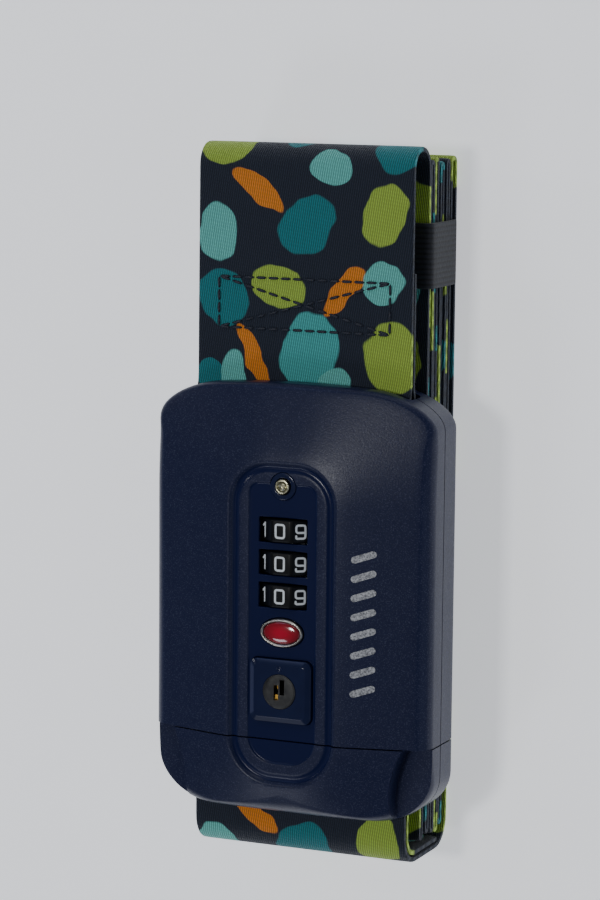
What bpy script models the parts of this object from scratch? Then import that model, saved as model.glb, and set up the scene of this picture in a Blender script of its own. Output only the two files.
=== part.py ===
"""Luggage strap with a combination-lock buckle: the buckle is closed and the strap is folded behind it.

Row frame: metres, +Z out of the dial face, +Y towards the end where the strap is sewn on, X across.
The origin is on the surface that the strap lies on, under the middle of the bundle.
"""

import math

import bmesh
import bpy
import numpy as np

MM = 0.001
GAP = 0.3 * MM                    # clearance between pieces that touch or slide

# Webbing and how it is folded
WEB_WIDTH = 50 * MM
WEB_THICK = 1.2 * MM
FOLD_LAYERS = 11
FOLD_PITCH = 1.42 * MM            # layer to layer
BAND_THICK = 1.0 * MM             # elastic band that holds the fold
BAND_WIDTH = 14 * MM
BUNDLE_LENGTH = 156 * MM
BELOW_BUCKLE = 11 * MM            # fold beyond the tongue
END_TURN = 6 * MM                 # radius of the strap's turns at the tongue's end of the fold
TAIL_LENGTH = 13 * MM             # free end behind the tongue's bar

# Buckle body
BUCKLE_WIDTH = 65 * MM
HOUSING_LENGTH = 77.3 * MM
TONGUE_LENGTH = 17 * MM
PARTING_HEIGHT = 7 * MM           # between back and front covers
WALL = 1.8 * MM
FACE_SLOPE = 0.25
TOP_ARC_RADIUS = 240 * MM
TOP_CORNER = (15 * MM, 8 * MM)    # across and along
LOW_CORNER = (13 * MM, 10 * MM)

# Lock column, from the outer groove in to the plate
GROOVE_HALF = 12.35 * MM
GROOVE_WIDTH = 2.2 * MM
GROOVE_DEPTH = 0.85 * MM
GROOVE_SIDE = 0.8 * MM            # how far its sides slope in
RING_SIDE = 0.3 * MM
RING_WIDTH = 2.4 * MM
RING_DROP = 0.5 * MM              # ring's top below the crest
PLATE_DROP = 0.8 * MM
PLATE_CORNER = 2.4 * MM
PLATE_THICK = 1.0 * MM
COLUMN_FROM_TOP = 16.8 * MM       # housing's end to the groove's outer edge
COLUMN_LENGTH = 70.1 * MM

# Dials
DIAL_COUNT = 3
DIAL_DIGITS = 10
DIAL_FLAT_RADIUS = 7.3 * MM
DIAL_WIDTH = 4.9 * MM
DIAL_PITCH = 7.1 * MM
DIAL_PROUD = 1.0 * MM             # flat of a dial above the plate
FIRST_DIAL_FROM_TOP = 31.4 * MM
DIAL_CLEARANCE = 1.12 * MM        # under the dials
WINDOW_CLEARANCE = 0.12 * MM      # on each side, at the plate's underside
SHAFT_RADIUS = 1.3 * MM
CLUTCH_RADIUS = 2.9 * MM

CHASSIS_THICK = 1.0 * MM

# Reset button
RESET_FROM_TOP = 21.8 * MM
RESET_RADIUS = 1.65 * MM
RESET_BOSS_RADIUS = 3.0 * MM

# Badge
BADGE_FROM_TOP = 53.6 * MM
BADGE_ACROSS = 10.0 * MM
BADGE_ALONG = 6.3 * MM
BADGE_RIM = 0.7 * MM

# Release button with its key cylinder
BUTTON_FROM_TOP = 66.3 * MM
BUTTON_ACROSS = 14.3 * MM
BUTTON_ALONG = 13.8 * MM
BUTTON_PROUD = 1.4 * MM
BUTTON_BEVEL = (1.6 * MM, 0.7 * MM)    # inwards and down
BUTTON_CORNER = 1.6 * MM
CYLINDER_RADIUS = 3.8 * MM
PLUG_RADIUS = 3.2 * MM
KEYWAY_WIDTH = 1.05 * MM
KEYWAY_LENGTH = 3.3 * MM
KEYWAY_DEPTH = 8 * MM
KEYWAY_SPLIT = (0.7 * MM, 0.6 * MM)    # half the distance between its two slots
KEYWAY_RAISE = 0.4 * MM

# Tongue, bars and screws
TONGUE_PLATE_HALF = 9 * MM
TONGUE_PLATE_THICK = 1.6 * MM
TONGUE_REACH = 23 * MM            # how far the steel plate enters the housing
BAR_RADIUS = 1.8 * MM
SCREW_RADIUS = 1.0 * MM
SCREW_HEAD_RADIUS = 1.9 * MM
SCOOP_RADIUS = 25 * MM
SCOOP_HALF = 24 * MM              # half width left between the two finger scoops

# Places that follow from the sizes above
HALF = BUCKLE_WIDTH / 2
ABOVE_BUCKLE = BUNDLE_LENGTH - HOUSING_LENGTH - TONGUE_LENGTH - BELOW_BUCKLE
SEWN_LENGTH = 0.48 * ABOVE_BUCKLE    # doubled stretch sewn behind the housing's bar
DIAL_SWEEP = DIAL_FLAT_RADIUS / math.cos(math.pi / DIAL_DIGITS)
CREST_HEIGHT = (WALL + GAP + CHASSIS_THICK + DIAL_CLEARANCE + DIAL_SWEEP + DIAL_FLAT_RADIUS
                - DIAL_PROUD + PLATE_DROP)    # highest line of the face, round the groove
WINDOW_ACROSS = 2 * (math.sqrt(DIAL_SWEEP ** 2 - (DIAL_FLAT_RADIUS - DIAL_PROUD - PLATE_THICK) ** 2)
                     + WINDOW_CLEARANCE)
TOP_Y = BUNDLE_LENGTH / 2 - ABOVE_BUCKLE
SPLIT_Y = TOP_Y - HOUSING_LENGTH
END_Y = SPLIT_Y - TONGUE_LENGTH
BOTTOM_LAYER_Z = WEB_THICK / 2
SECOND_LAYER_Z = BOTTOM_LAYER_Z + WEB_THICK + BAND_THICK + GAP
TOP_LAYER_Z = SECOND_LAYER_Z + (FOLD_LAYERS - 2) * FOLD_PITCH
BACK_Z = TOP_LAYER_Z + WEB_THICK / 2 + 0.4 * MM
CREST_Z = BACK_Z + CREST_HEIGHT
PARTING_Z = BACK_Z + PARTING_HEIGHT
PLATE_Z = CREST_Z - PLATE_DROP
ROOF_Z = PLATE_Z - PLATE_THICK
RING_Z = CREST_Z - RING_DROP
RING_HALF = GROOVE_HALF - GROOVE_WIDTH
PLATE_HALF = RING_HALF - RING_WIDTH
COLUMN_HIGH = TOP_Y - COLUMN_FROM_TOP
COLUMN_LOW = COLUMN_HIGH - COLUMN_LENGTH
DIAL_Z = PLATE_Z + DIAL_PROUD - DIAL_FLAT_RADIUS
DIAL_YS = [TOP_Y - FIRST_DIAL_FROM_TOP - i * DIAL_PITCH for i in range(DIAL_COUNT)]
RESET_Y = TOP_Y - RESET_FROM_TOP
BADGE_Y = TOP_Y - BADGE_FROM_TOP
BUTTON_Y = TOP_Y - BUTTON_FROM_TOP
BUTTON_Z = PLATE_Z + BUTTON_PROUD
FLOOR_Z = BACK_Z + WALL
TONGUE_PLATE_Z = BACK_Z + 4.0 * MM
DECK_Z = TONGUE_PLATE_Z + TONGUE_PLATE_THICK + 1.0 * MM
DECK_THICK = 0.9 * MM
BAR_Z = PARTING_Z
HOUSING_BAR_Y = TOP_Y - 7.5 * MM
TONGUE_BAR_Y = END_Y + 6.5 * MM
BAR_LOOP = BAR_RADIUS + GAP + WEB_THICK / 2
PLY_OFFSET = (WEB_THICK + GAP) / 2


# ---------------------------------------------------------------- helpers

def material(name, colour, roughness, metallic=0.0):
    """A Principled material."""
    made = bpy.data.materials.get(name)
    if made:
        return made
    made = bpy.data.materials.new(name)
    made.use_nodes = True
    shader = made.node_tree.nodes["Principled BSDF"]
    shader.inputs["Base Color"].default_value = (*colour, 1.0)
    shader.inputs["Roughness"].default_value = roughness
    shader.inputs["Metallic"].default_value = metallic
    return made


def navy_shell():
    return material("navy_shell", (0.017, 0.021, 0.05), 0.45)


def navy_gloss():
    return material("navy_gloss", (0.008, 0.014, 0.055), 0.2)


def black_plastic():
    return material("black_plastic", (0.01, 0.01, 0.012), 0.35)


def steel():
    return material("steel", (0.55, 0.55, 0.56), 0.3, 1.0)


def brass():
    return material("brass", (0.6, 0.48, 0.27), 0.25, 1.0)


def zinc():
    return material("zinc", (0.35, 0.35, 0.36), 0.4, 1.0)


def webbing_cloth():
    return material("webbing_cloth", (0.05, 0.25, 0.27), 0.9)


def elastic_cloth():
    return material("elastic_cloth", (0.01, 0.012, 0.02), 0.9)


def red_enamel():
    return material("red_enamel", (0.5, 0.01, 0.02), 0.1)


def add_object(name, bm, finish, origin=(0, 0, 0), smooth=None, hidden=False):
    """A named object from a bmesh in world places, with its origin moved to a given point."""
    bmesh.ops.recalc_face_normals(bm, faces=bm.faces)
    bmesh.ops.translate(bm, verts=bm.verts, vec=[-c for c in origin])
    mesh = bpy.data.meshes.new(name)
    bm.to_mesh(mesh)
    bm.free()
    if smooth is not None:
        mesh.shade_smooth()
        mesh.set_sharp_from_angle(angle=math.radians(smooth))
    obj = bpy.data.objects.new(name, mesh)
    obj.location = origin
    bpy.context.scene.collection.objects.link(obj)
    if hidden:
        obj.hide_render = True
        obj.display_type = "WIRE"
    else:
        mesh.materials.append(finish)
    return obj


def cutter(name, bm):
    return add_object(name, bm, None, hidden=True)


def boolean(obj, other, operation="DIFFERENCE"):
    made = obj.modifiers.new(other.name, "BOOLEAN")
    made.operation = operation
    made.solver = "EXACT"
    made.object = other


def box(low, high):
    bm = bmesh.new()
    add_box(bm, low, high)
    return bm


def add_box(bm, low, high):
    """A box from its lowest and highest corners."""
    made = bmesh.ops.create_cube(bm, size=1.0)
    for vert in made["verts"]:
        for axis in range(3):
            vert.co[axis] = high[axis] if vert.co[axis] > 0 else low[axis]


def prism(outline, low, high, axis=2):
    """An outline carried straight along one axis; the outline's two numbers are the other two, in order."""
    bm = bmesh.new()
    rings = []
    for level in (low, high):
        ring = []
        for a, b in outline:
            point = [a, b]
            point.insert(axis, level)
            ring.append(bm.verts.new(point))
        rings.append(ring)
    bm.faces.new(rings[0])
    bm.faces.new(rings[1])
    count = len(outline)
    for i in range(count):
        j = (i + 1) % count
        bm.faces.new((rings[0][i], rings[0][j], rings[1][j], rings[1][i]))
    return bm


def ellipse(cx, cy, rx, ry, count=32, turn=0.0):
    angles = [turn + 2 * math.pi * i / count for i in range(count)]
    return [(cx + rx * math.cos(a), cy + ry * math.sin(a)) for a in angles]


def rounded_rectangle(cx, cy, half_x, half_y, radius, steps=5):
    points = []
    for k, (sx, sy) in enumerate([(1, 1), (-1, 1), (-1, -1), (1, -1)]):
        for i in range(steps + 1):
            a = math.pi / 2 * (k + i / steps)
            points.append((cx + sx * (half_x - radius) + radius * math.cos(a),
                           cy + sy * (half_y - radius) + radius * math.sin(a)))
    return points


def loft(rings):
    """Rings of points with equal counts, skinned one to the next, with the first and last ring capped."""
    bm = bmesh.new()
    rows = [[bm.verts.new(p) for p in ring] for ring in rings]
    count = len(rows[0])
    for low, high in zip(rows, rows[1:]):
        for i in range(count):
            j = (i + 1) % count
            bm.faces.new((low[i], low[j], high[j], high[i]))
    bm.faces.new(rows[0])
    bm.faces.new(rows[-1])
    bmesh.ops.triangulate(bm, faces=[face for face in bm.faces if len(face.verts) == 4])
    return bm


def turned(profile, centre, axis=2, count=32):
    """A solid turned from (radius, height) pairs round an axis; heights are absolute along it."""
    rings = []
    for radius, height in profile:
        ring = []
        for a, b in ellipse(centre[0], centre[1], radius, radius, count):
            point = [a, b]
            point.insert(axis, height)
            ring.append(point)
        rings.append(ring)
    return loft(rings)


def tube(inner, outer, low, high, centre, axis=2, count=32):
    """A ring with a square section, as four rings of points joined in a loop."""
    bm = bmesh.new()
    rows = []
    for radius, height in ((inner, low), (outer, low), (outer, high), (inner, high)):
        row = []
        for a, b in ellipse(centre[0], centre[1], radius, radius, count):
            point = [a, b]
            point.insert(axis, height)
            row.append(bm.verts.new(point))
        rows.append(row)
    for k in range(4):
        low_row, high_row = rows[k], rows[(k + 1) % 4]
        for i in range(count):
            j = (i + 1) % count
            bm.faces.new((low_row[i], low_row[j], high_row[j], high_row[i]))
    return bm


# ---------------------------------------------------------------- buckle envelope

def outline(half, low, high, top_corner, low_corner, arc=None, steps=7):
    """Plan outline with elliptical corners; arc is the radius that the far end is crowned to."""
    points = []
    for k, (sx, sy) in enumerate([(1, 1), (-1, 1), (-1, -1), (1, -1)]):
        rx, ry = top_corner if sy > 0 else low_corner
        cy = high - ry if sy > 0 else low + ry
        for i in range(steps + 1):
            a = math.pi / 2 * (k + i / steps)
            points.append([sx * (half - rx) + rx * math.cos(a), cy + ry * math.sin(a)])
        if k == 0:
            points += [[(half - rx) * (1 - 2 * t), high] for t in (0.2, 0.4, 0.6, 0.8)]
        if k == 1:
            low_y = low + low_corner[1]
            points += [[-half, cy + (low_y - cy) * t] for t in (0.25, 0.5, 0.75)]
        if k == 2:
            points += [[(half - rx) * (2 * t - 1), low] for t in (0.2, 0.4, 0.6, 0.8)]
        if k == 3:
            high_y = high - top_corner[1]
            points += [[half, cy + (high_y - cy) * t] for t in (0.25, 0.5, 0.75)]
    points = np.array(points)
    if arc:
        share = np.clip((points[:, 1] - (high - 20 * MM)) / (20 * MM), 0, 1)
        points[:, 1] -= share * points[:, 0] ** 2 / (2 * arc)
    return points


def body_outline(inset):
    return outline(HALF - inset, END_Y + inset, TOP_Y - inset,
                   (TOP_CORNER[0] - inset, TOP_CORNER[1] - inset),
                   (LOW_CORNER[0] - inset, LOW_CORNER[1] - inset), TOP_ARC_RADIUS)


def column_outline(inset):
    radius_top = 9 * MM - 0.9 * inset if inset <= GROOVE_WIDTH else PLATE_CORNER
    radius_low = 10 * MM - 0.9 * inset
    return outline(GROOVE_HALF - inset, COLUMN_LOW + inset, COLUMN_HIGH - inset,
                   (radius_top, radius_top), (radius_low, radius_low))


def face_drop(distance, reach, fillet):
    """Fall of the face below its crest: a slope that starts softly, then a round edge."""
    soft = 1.5 * MM
    drop = FACE_SLOPE * distance ** 2 / (distance + soft)
    into = np.clip((distance - (reach - fillet)) / fillet, 0, 1)
    return drop + fillet * (1 - np.sqrt(1 - into ** 2))


def with_height(points, height):
    return np.column_stack([points, np.broadcast_to(height, len(points))])


def face_rings(inset, crest, fillet_side, fillet_end, fillet_top):
    """Rings from the body's side, over its round edge and up the slope to the crest round the groove."""
    outer = body_outline(inset)
    inner = column_outline(0)
    reach = np.linalg.norm(outer - inner, axis=1)
    end_share = np.clip((END_Y + 16 * MM - outer[:, 1]) / (12 * MM), 0, 1)
    top_share = np.clip((outer[:, 1] - (TOP_Y - 12 * MM)) / (6 * MM), 0, 1)
    fillet = fillet_side + (fillet_end - fillet_side) * end_share + (fillet_top - fillet_side) * top_share
    rings = []
    for share in (1.0, 0.95, 0.8, 0.55, 0.3, 0.0):
        distance = reach - fillet + fillet * share
        spot = inner + (outer - inner) * (distance / reach)[:, None]
        rings.append(with_height(spot, crest - face_drop(distance, reach, fillet)))
    for share in (0.6, 0.25):
        distance = (reach - fillet) * share
        spot = inner + (outer - inner) * (distance / reach)[:, None]
        rings.append(with_height(spot, crest - face_drop(distance, reach, fillet)))
    rings.append(with_height(inner, crest))
    return rings


def envelope():
    """The closed buckle as one solid: both covers, housing and tongue together."""
    rings = [
        with_height(body_outline(1.2 * MM), BACK_Z),
        with_height(body_outline(0.35 * MM), BACK_Z + 0.35 * MM),
        with_height(body_outline(0), BACK_Z + 1.2 * MM),
        with_height(body_outline(0), PARTING_Z),
    ]
    rings += face_rings(0, CREST_Z, 3 * MM, 5 * MM, 1.3 * MM)
    groove_in = GROOVE_WIDTH
    ring_in = GROOVE_WIDTH + RING_WIDTH
    rings += [
        with_height(column_outline(GROOVE_SIDE), CREST_Z - GROOVE_DEPTH),
        with_height(column_outline(groove_in - GROOVE_SIDE), CREST_Z - GROOVE_DEPTH),
        with_height(column_outline(groove_in), RING_Z),
        with_height(column_outline(ring_in - RING_SIDE), RING_Z),
        with_height(column_outline(ring_in), PLATE_Z),
    ]
    return loft(rings)


def hollow(name, y_low, y_high, z_high, bosses):
    """Cutter for the space inside the covers, which leaves round bosses for the screws."""
    rings = [
        with_height(body_outline(WALL), FLOOR_Z),
        with_height(body_outline(WALL), PARTING_Z),
    ]
    rings += face_rings(WALL, ROOF_Z, 2 * MM, 3 * MM, 1.5 * MM)
    made = cutter(name, loft(rings))
    keep = cutter(name + "_range", box((-HALF, y_low, BACK_Z), (HALF, y_high, z_high)))
    boolean(made, keep, "INTERSECT")
    for i, (x, y) in enumerate(bosses):
        boss = cutter(f"{name}_boss_{i}", turned([(2.7 * MM, BACK_Z), (2.7 * MM, CREST_Z)], (x, y), count=20))
        boolean(made, boss)
    return made


# ---------------------------------------------------------------- covers

HOUSING_SCREWS = [(sx * (HALF - 6.5 * MM), y) for y in (TOP_Y - 17 * MM, SPLIT_Y + 7 * MM) for sx in (-1, 1)]
TONGUE_SCREWS = [(sx * (HALF - 9.2 * MM), SPLIT_Y - 4.2 * MM) for sx in (-1, 1)]


def strap_mouth(name, y_low, y_high):
    """Cutter for the slot where the strap enters."""
    half = WEB_WIDTH / 2 + 0.8 * MM
    height = BAR_LOOP + WEB_THICK / 2 + GAP
    return cutter(name, prism(rounded_rectangle(0, BAR_Z, half, height, 1.5 * MM), y_low, y_high, axis=1))


def plate_slot():
    half = TONGUE_PLATE_HALF + 0.6 * MM
    low = (-half, SPLIT_Y - WALL - MM, TONGUE_PLATE_Z - 0.5 * MM)
    high = (half, SPLIT_Y + WALL + MM, TONGUE_PLATE_Z + TONGUE_PLATE_THICK + 0.5 * MM)
    return cutter("plate_slot_cut", box(low, high))


def screw_cuts(spots, prefix):
    """Head counterbores and shank holes for the screws that come in from the back."""
    cuts = []
    for i, (x, y) in enumerate(spots):
        profile = [
            (SCREW_HEAD_RADIUS + GAP, BACK_Z - MM), (SCREW_HEAD_RADIUS + GAP, BACK_Z + 1.6 * MM),
            (SCREW_RADIUS + GAP, BACK_Z + 1.6 * MM), (SCREW_RADIUS + GAP, BACK_Z + 11.2 * MM),
        ]
        cuts.append(cutter(f"{prefix}_{i}", turned(profile, (x, y), count=20)))
    return cuts


def make_covers():
    far = 100 * MM
    upper = PARTING_Z + GAP / 2
    lower = PARTING_Z - GAP / 2
    housing_y = SPLIT_Y + GAP / 2
    tongue_y = SPLIT_Y - GAP / 2
    housing_space = hollow("housing_space", SPLIT_Y + WALL, TOP_Y, CREST_Z, HOUSING_SCREWS)
    tongue_space = hollow("tongue_space", END_Y, SPLIT_Y - WALL, BACK_Z + 10.9 * MM, TONGUE_SCREWS)
    housing_mouth = strap_mouth("housing_mouth_cut", TOP_Y - 6 * MM, TOP_Y + MM)
    tongue_mouth = strap_mouth("tongue_mouth_cut", END_Y - MM, END_Y + 4 * MM)
    slot = plate_slot()
    housing_screw_cuts = screw_cuts(HOUSING_SCREWS, "housing_screw_cut")
    tongue_screw_cuts = screw_cuts(TONGUE_SCREWS, "tongue_screw_cut")

    halves = {
        "front_cover": ((-far, housing_y, upper), (far, far, far), housing_space, housing_mouth, housing_screw_cuts),
        "back_cover": ((-far, housing_y, -far), (far, far, lower), housing_space, housing_mouth, housing_screw_cuts),
        "tongue_front_cover": ((-far, -far, upper), (far, tongue_y, far), tongue_space, tongue_mouth,
                               tongue_screw_cuts),
        "tongue_back_cover": ((-far, -far, -far), (far, tongue_y, lower), tongue_space, tongue_mouth,
                              tongue_screw_cuts),
    }
    made = {}
    for name, (low, high, space, mouth, screws) in halves.items():
        cover = add_object(name, envelope(), navy_shell(), smooth=35)
        boolean(cover, cutter(name + "_range", box(low, high)), "INTERSECT")
        boolean(cover, space)
        boolean(cover, mouth)
        for cut in screws:
            boolean(cover, cut)
        if "front" not in name:
            boolean(cover, slot)
        made[name] = cover

    front = made["front_cover"]
    low_z, high_z = ROOF_Z - 2 * MM, CREST_Z + MM
    for i, y in enumerate(DIAL_YS):
        half_y = DIAL_WIDTH / 2 + GAP
        window = box((-WINDOW_ACROSS / 2, y - half_y, low_z), (WINDOW_ACROSS / 2, y + half_y, high_z))
        boolean(front, cutter(f"dial_window_cut_{i}", window))
    boss_hole = turned([(RESET_BOSS_RADIUS + GAP, low_z), (RESET_BOSS_RADIUS + GAP, high_z)], (0, RESET_Y))
    boolean(front, cutter("reset_boss_cut", boss_hole))
    badge = ellipse(0, BADGE_Y, BADGE_ACROSS / 2 + GAP, BADGE_ALONG / 2 + GAP)
    boolean(front, cutter("badge_cut", prism(badge, low_z, high_z)))
    hole = rounded_rectangle(0, BUTTON_Y, BUTTON_ACROSS / 2 + GAP, BUTTON_ALONG / 2 + GAP, BUTTON_CORNER)
    boolean(front, cutter("button_hole_cut", prism(hole, low_z, high_z)))

    tongue = made["tongue_front_cover"]
    for side in (-1, 1):
        centre = (side * (SCOOP_HALF + SCOOP_RADIUS), END_Y + 5 * MM)
        scoop = turned([(SCOOP_RADIUS, BACK_Z + 11.6 * MM), (SCOOP_RADIUS, CREST_Z + MM)], centre, count=64)
        boolean(tongue, cutter(f"finger_scoop_cut_{side}", scoop))


def make_screws():
    spots = [("cover_screw", i + 1, spot) for i, spot in enumerate(HOUSING_SCREWS)]
    spots += [("tongue_screw", i + 1, spot) for i, spot in enumerate(TONGUE_SCREWS)]
    for prefix, number, (x, y) in spots:
        head_low = BACK_Z + 0.2 * MM
        head_high = BACK_Z + 1.3 * MM
        profile = [(SCREW_HEAD_RADIUS, head_low), (SCREW_HEAD_RADIUS, head_high),
                   (SCREW_RADIUS, head_high), (SCREW_RADIUS, BACK_Z + 10.8 * MM)]
        name = f"{prefix}_{number}"
        screw = add_object(name, turned(profile, (x, y), count=20), steel(), smooth=35)
        reach, thin = 1.2 * MM, 0.25 * MM
        for turn, (a, b) in enumerate([(reach, thin), (thin, reach)]):
            cross = box((x - a, y - b, head_low - MM), (x + a, y + b, head_low + 0.6 * MM))
            boolean(screw, cutter(f"{name}_cross_{turn}", cross))


# ---------------------------------------------------------------- lock

SHAFT_HIGH_Y = DIAL_YS[0] + DIAL_WIDTH / 2 + 3.2 * MM
SHAFT_LOW_Y = DIAL_YS[-1] - DIAL_WIDTH / 2 - 3.0 * MM
CHASSIS_HALF = 11 * MM
DECK_HALF = BUTTON_ACROSS / 2 + 1.0 * MM


def make_chassis():
    """Pressed steel frame: a floor under the dials, two ears for their shaft and a deck under the button."""
    floor = FLOOR_Z + GAP
    thick = CHASSIS_THICK
    ear = 1.2 * MM
    top = DIAL_Z + 4.2 * MM
    far = RESET_Y + 4 * MM
    high_ear, low_ear = SHAFT_HIGH_Y - 0.4 * MM, SHAFT_LOW_Y + 0.4 * MM
    deck_end = SPLIT_Y + WALL + GAP
    side = [
        (far, floor), (far, floor + thick), (high_ear, floor + thick), (high_ear, top), (high_ear - ear, top),
        (high_ear - ear, floor + thick), (low_ear + ear, floor + thick), (low_ear + ear, top), (low_ear, top),
        (low_ear, DECK_Z + DECK_THICK), (deck_end, DECK_Z + DECK_THICK), (deck_end, DECK_Z),
        (low_ear, DECK_Z), (low_ear, floor),
    ]
    chassis = add_object("lock_chassis", prism(side, -CHASSIS_HALF, CHASSIS_HALF, axis=0), zinc(), smooth=35)
    bore = turned([(SHAFT_RADIUS + GAP, SHAFT_LOW_Y - MM), (SHAFT_RADIUS + GAP, SHAFT_HIGH_Y + MM)],
                  (0, DIAL_Z), axis=1, count=24)
    boolean(chassis, cutter("shaft_bore_cut", bore))
    plug_room = turned([(4.2 * MM, DECK_Z - MM), (4.2 * MM, DECK_Z + 2 * MM)], (0, BUTTON_Y), count=24)
    boolean(chassis, cutter("plug_room_cut", plug_room))
    for sx in (-1, 1):
        edges = sorted((sx * DECK_HALF, sx * (CHASSIS_HALF + MM)))
        side_cut = box((edges[0], deck_end - MM, FLOOR_Z), (edges[1], low_ear - MM, top + MM))
        boolean(chassis, cutter(f"deck_side_cut_{sx}", side_cut))
    shaft = turned([(SHAFT_RADIUS, SHAFT_LOW_Y), (SHAFT_RADIUS, SHAFT_HIGH_Y)], (0, DIAL_Z), axis=1, count=24)
    add_object("dial_shaft", shaft, steel(), origin=(0, DIAL_YS[1], DIAL_Z), smooth=35)


def make_dials():
    """Ten-sided wheels, each on its own toothed clutch sleeve."""
    for i, y in enumerate(DIAL_YS):
        half = DIAL_WIDTH / 2
        chamfer = 0.35 * MM
        bore = CLUTCH_RADIUS + GAP
        turn = math.pi / DIAL_DIGITS - math.pi / 2
        rows = []
        bm = bmesh.new()
        for radius, at in ((bore, y - half), (DIAL_SWEEP - chamfer, y - half), (DIAL_SWEEP, y - half + chamfer),
                           (DIAL_SWEEP, y + half - chamfer), (DIAL_SWEEP - chamfer, y + half), (bore, y + half)):
            spots = ellipse(0, DIAL_Z, radius, radius, DIAL_DIGITS, turn)
            rows.append([bm.verts.new((x, at, z)) for x, z in spots])
        for k in range(len(rows)):
            low_row, high_row = rows[k], rows[(k + 1) % len(rows)]
            for j in range(DIAL_DIGITS):
                n = (j + 1) % DIAL_DIGITS
                bm.faces.new((low_row[j], low_row[n], high_row[n], high_row[j]))
        centre = (0, y, DIAL_Z)
        add_object(f"dial_{i + 1}", bm, black_plastic(), origin=centre)
        sleeve = tube(SHAFT_RADIUS + GAP, CLUTCH_RADIUS * math.cos(math.pi / DIAL_DIGITS),
                      y - half - 0.4 * MM, y + half + 0.4 * MM, (0, DIAL_Z), axis=1, count=20)
        add_object(f"dial_clutch_{i + 1}", sleeve, brass(), origin=centre, smooth=35)


def make_detent_spring():
    """Leaf spring beside the dials, with one finger for each."""
    x = DIAL_SWEEP + 0.7 * MM
    thick = 0.4 * MM
    foot = FLOOR_Z + GAP + CHASSIS_THICK + GAP
    y_high = DIAL_YS[0] + DIAL_WIDTH / 2
    y_low = DIAL_YS[-1] - DIAL_WIDTH / 2
    leaf = add_object("detent_spring", box((x, y_low, foot), (x + thick, y_high, DIAL_Z + 1.5 * MM)), steel())
    for i in range(DIAL_COUNT - 1):
        middle = (DIAL_YS[i] + DIAL_YS[i + 1]) / 2
        slit = box((x - MM, middle - 0.6 * MM, foot + 2 * MM), (x + MM, middle + 0.6 * MM, DIAL_Z + 3 * MM))
        boolean(leaf, cutter(f"detent_slit_cut_{i}", slit))


def coil_spring(name, centre, radius, wire, low, high, turns):
    """Compression spring: a round wire carried along a helix, as a curve with filled caps."""
    curve = bpy.data.curves.new(name, "CURVE")
    curve.dimensions = "3D"
    curve.bevel_depth = wire
    curve.bevel_resolution = 1
    curve.use_fill_caps = True
    count = turns * 12 + 1
    spline = curve.splines.new("POLY")
    spline.points.add(count - 1)
    for i, point in enumerate(spline.points):
        a = 2 * math.pi * i / 12
        share = i / (count - 1)
        z = wire + (high - low - 2 * wire) * share
        point.co = (radius * math.cos(a), radius * math.sin(a), z, 1)
    obj = bpy.data.objects.new(name, curve)
    obj.location = (*centre, low)
    curve.materials.append(steel())
    bpy.context.scene.collection.objects.link(obj)


def make_reset():
    """Reset button in its round boss, over a small spring."""
    boss_top = PLATE_Z + 0.35 * MM
    boss = tube(RESET_RADIUS + GAP, RESET_BOSS_RADIUS, ROOF_Z, boss_top, (0, RESET_Y))
    add_object("reset_boss", boss, navy_gloss(), smooth=35)
    top = PLATE_Z + 0.9 * MM
    foot = ROOF_Z - 4 * MM
    profile = [(RESET_RADIUS, foot), (RESET_RADIUS, top - 0.3 * MM), (RESET_RADIUS - 0.3 * MM, top),
               (0.8 * MM, top), (0.6 * MM, top - 0.6 * MM)]
    pin = turned(profile, (0, RESET_Y), count=24)
    add_object("reset_button", pin, brass(), origin=(0, RESET_Y, foot), smooth=35)
    seat = FLOOR_Z + GAP + CHASSIS_THICK + GAP
    coil_spring("reset_spring", (0, RESET_Y), 1.1 * MM, 0.2 * MM, seat, foot - GAP, 5)


def make_badge():
    """Oval badge: a plated rim with a plain enamel lens."""
    rx, ry = BADGE_ACROSS / 2, BADGE_ALONG / 2
    low = ROOF_Z + GAP
    rows = []
    bm = bmesh.new()
    heights = ((0, low), (0, PLATE_Z + 0.5 * MM), (BADGE_RIM * 0.5, PLATE_Z + 0.8 * MM),
               (BADGE_RIM, PLATE_Z + 0.5 * MM), (BADGE_RIM, low))
    for inset, height in heights:
        rows.append([bm.verts.new((x, y, height)) for x, y in ellipse(0, BADGE_Y, rx - inset, ry - inset, 40)])
    for k in range(len(rows)):
        low_row, high_row = rows[k], rows[(k + 1) % len(rows)]
        for j in range(40):
            n = (j + 1) % 40
            bm.faces.new((low_row[j], low_row[n], high_row[n], high_row[j]))
    add_object("badge_rim", bm, steel(), smooth=35)
    inset = BADGE_RIM + GAP
    rings = []
    for share, height in ((1, low), (1, PLATE_Z + 0.3 * MM), (0.8, PLATE_Z + 0.65 * MM), (0.4, PLATE_Z + 0.85 * MM)):
        spots = ellipse(0, BADGE_Y, (rx - inset) * share, (ry - inset) * share, 40)
        rings.append([(x, y, height) for x, y in spots])
    add_object("badge_lens", loft(rings), red_enamel(), smooth=35)


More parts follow.
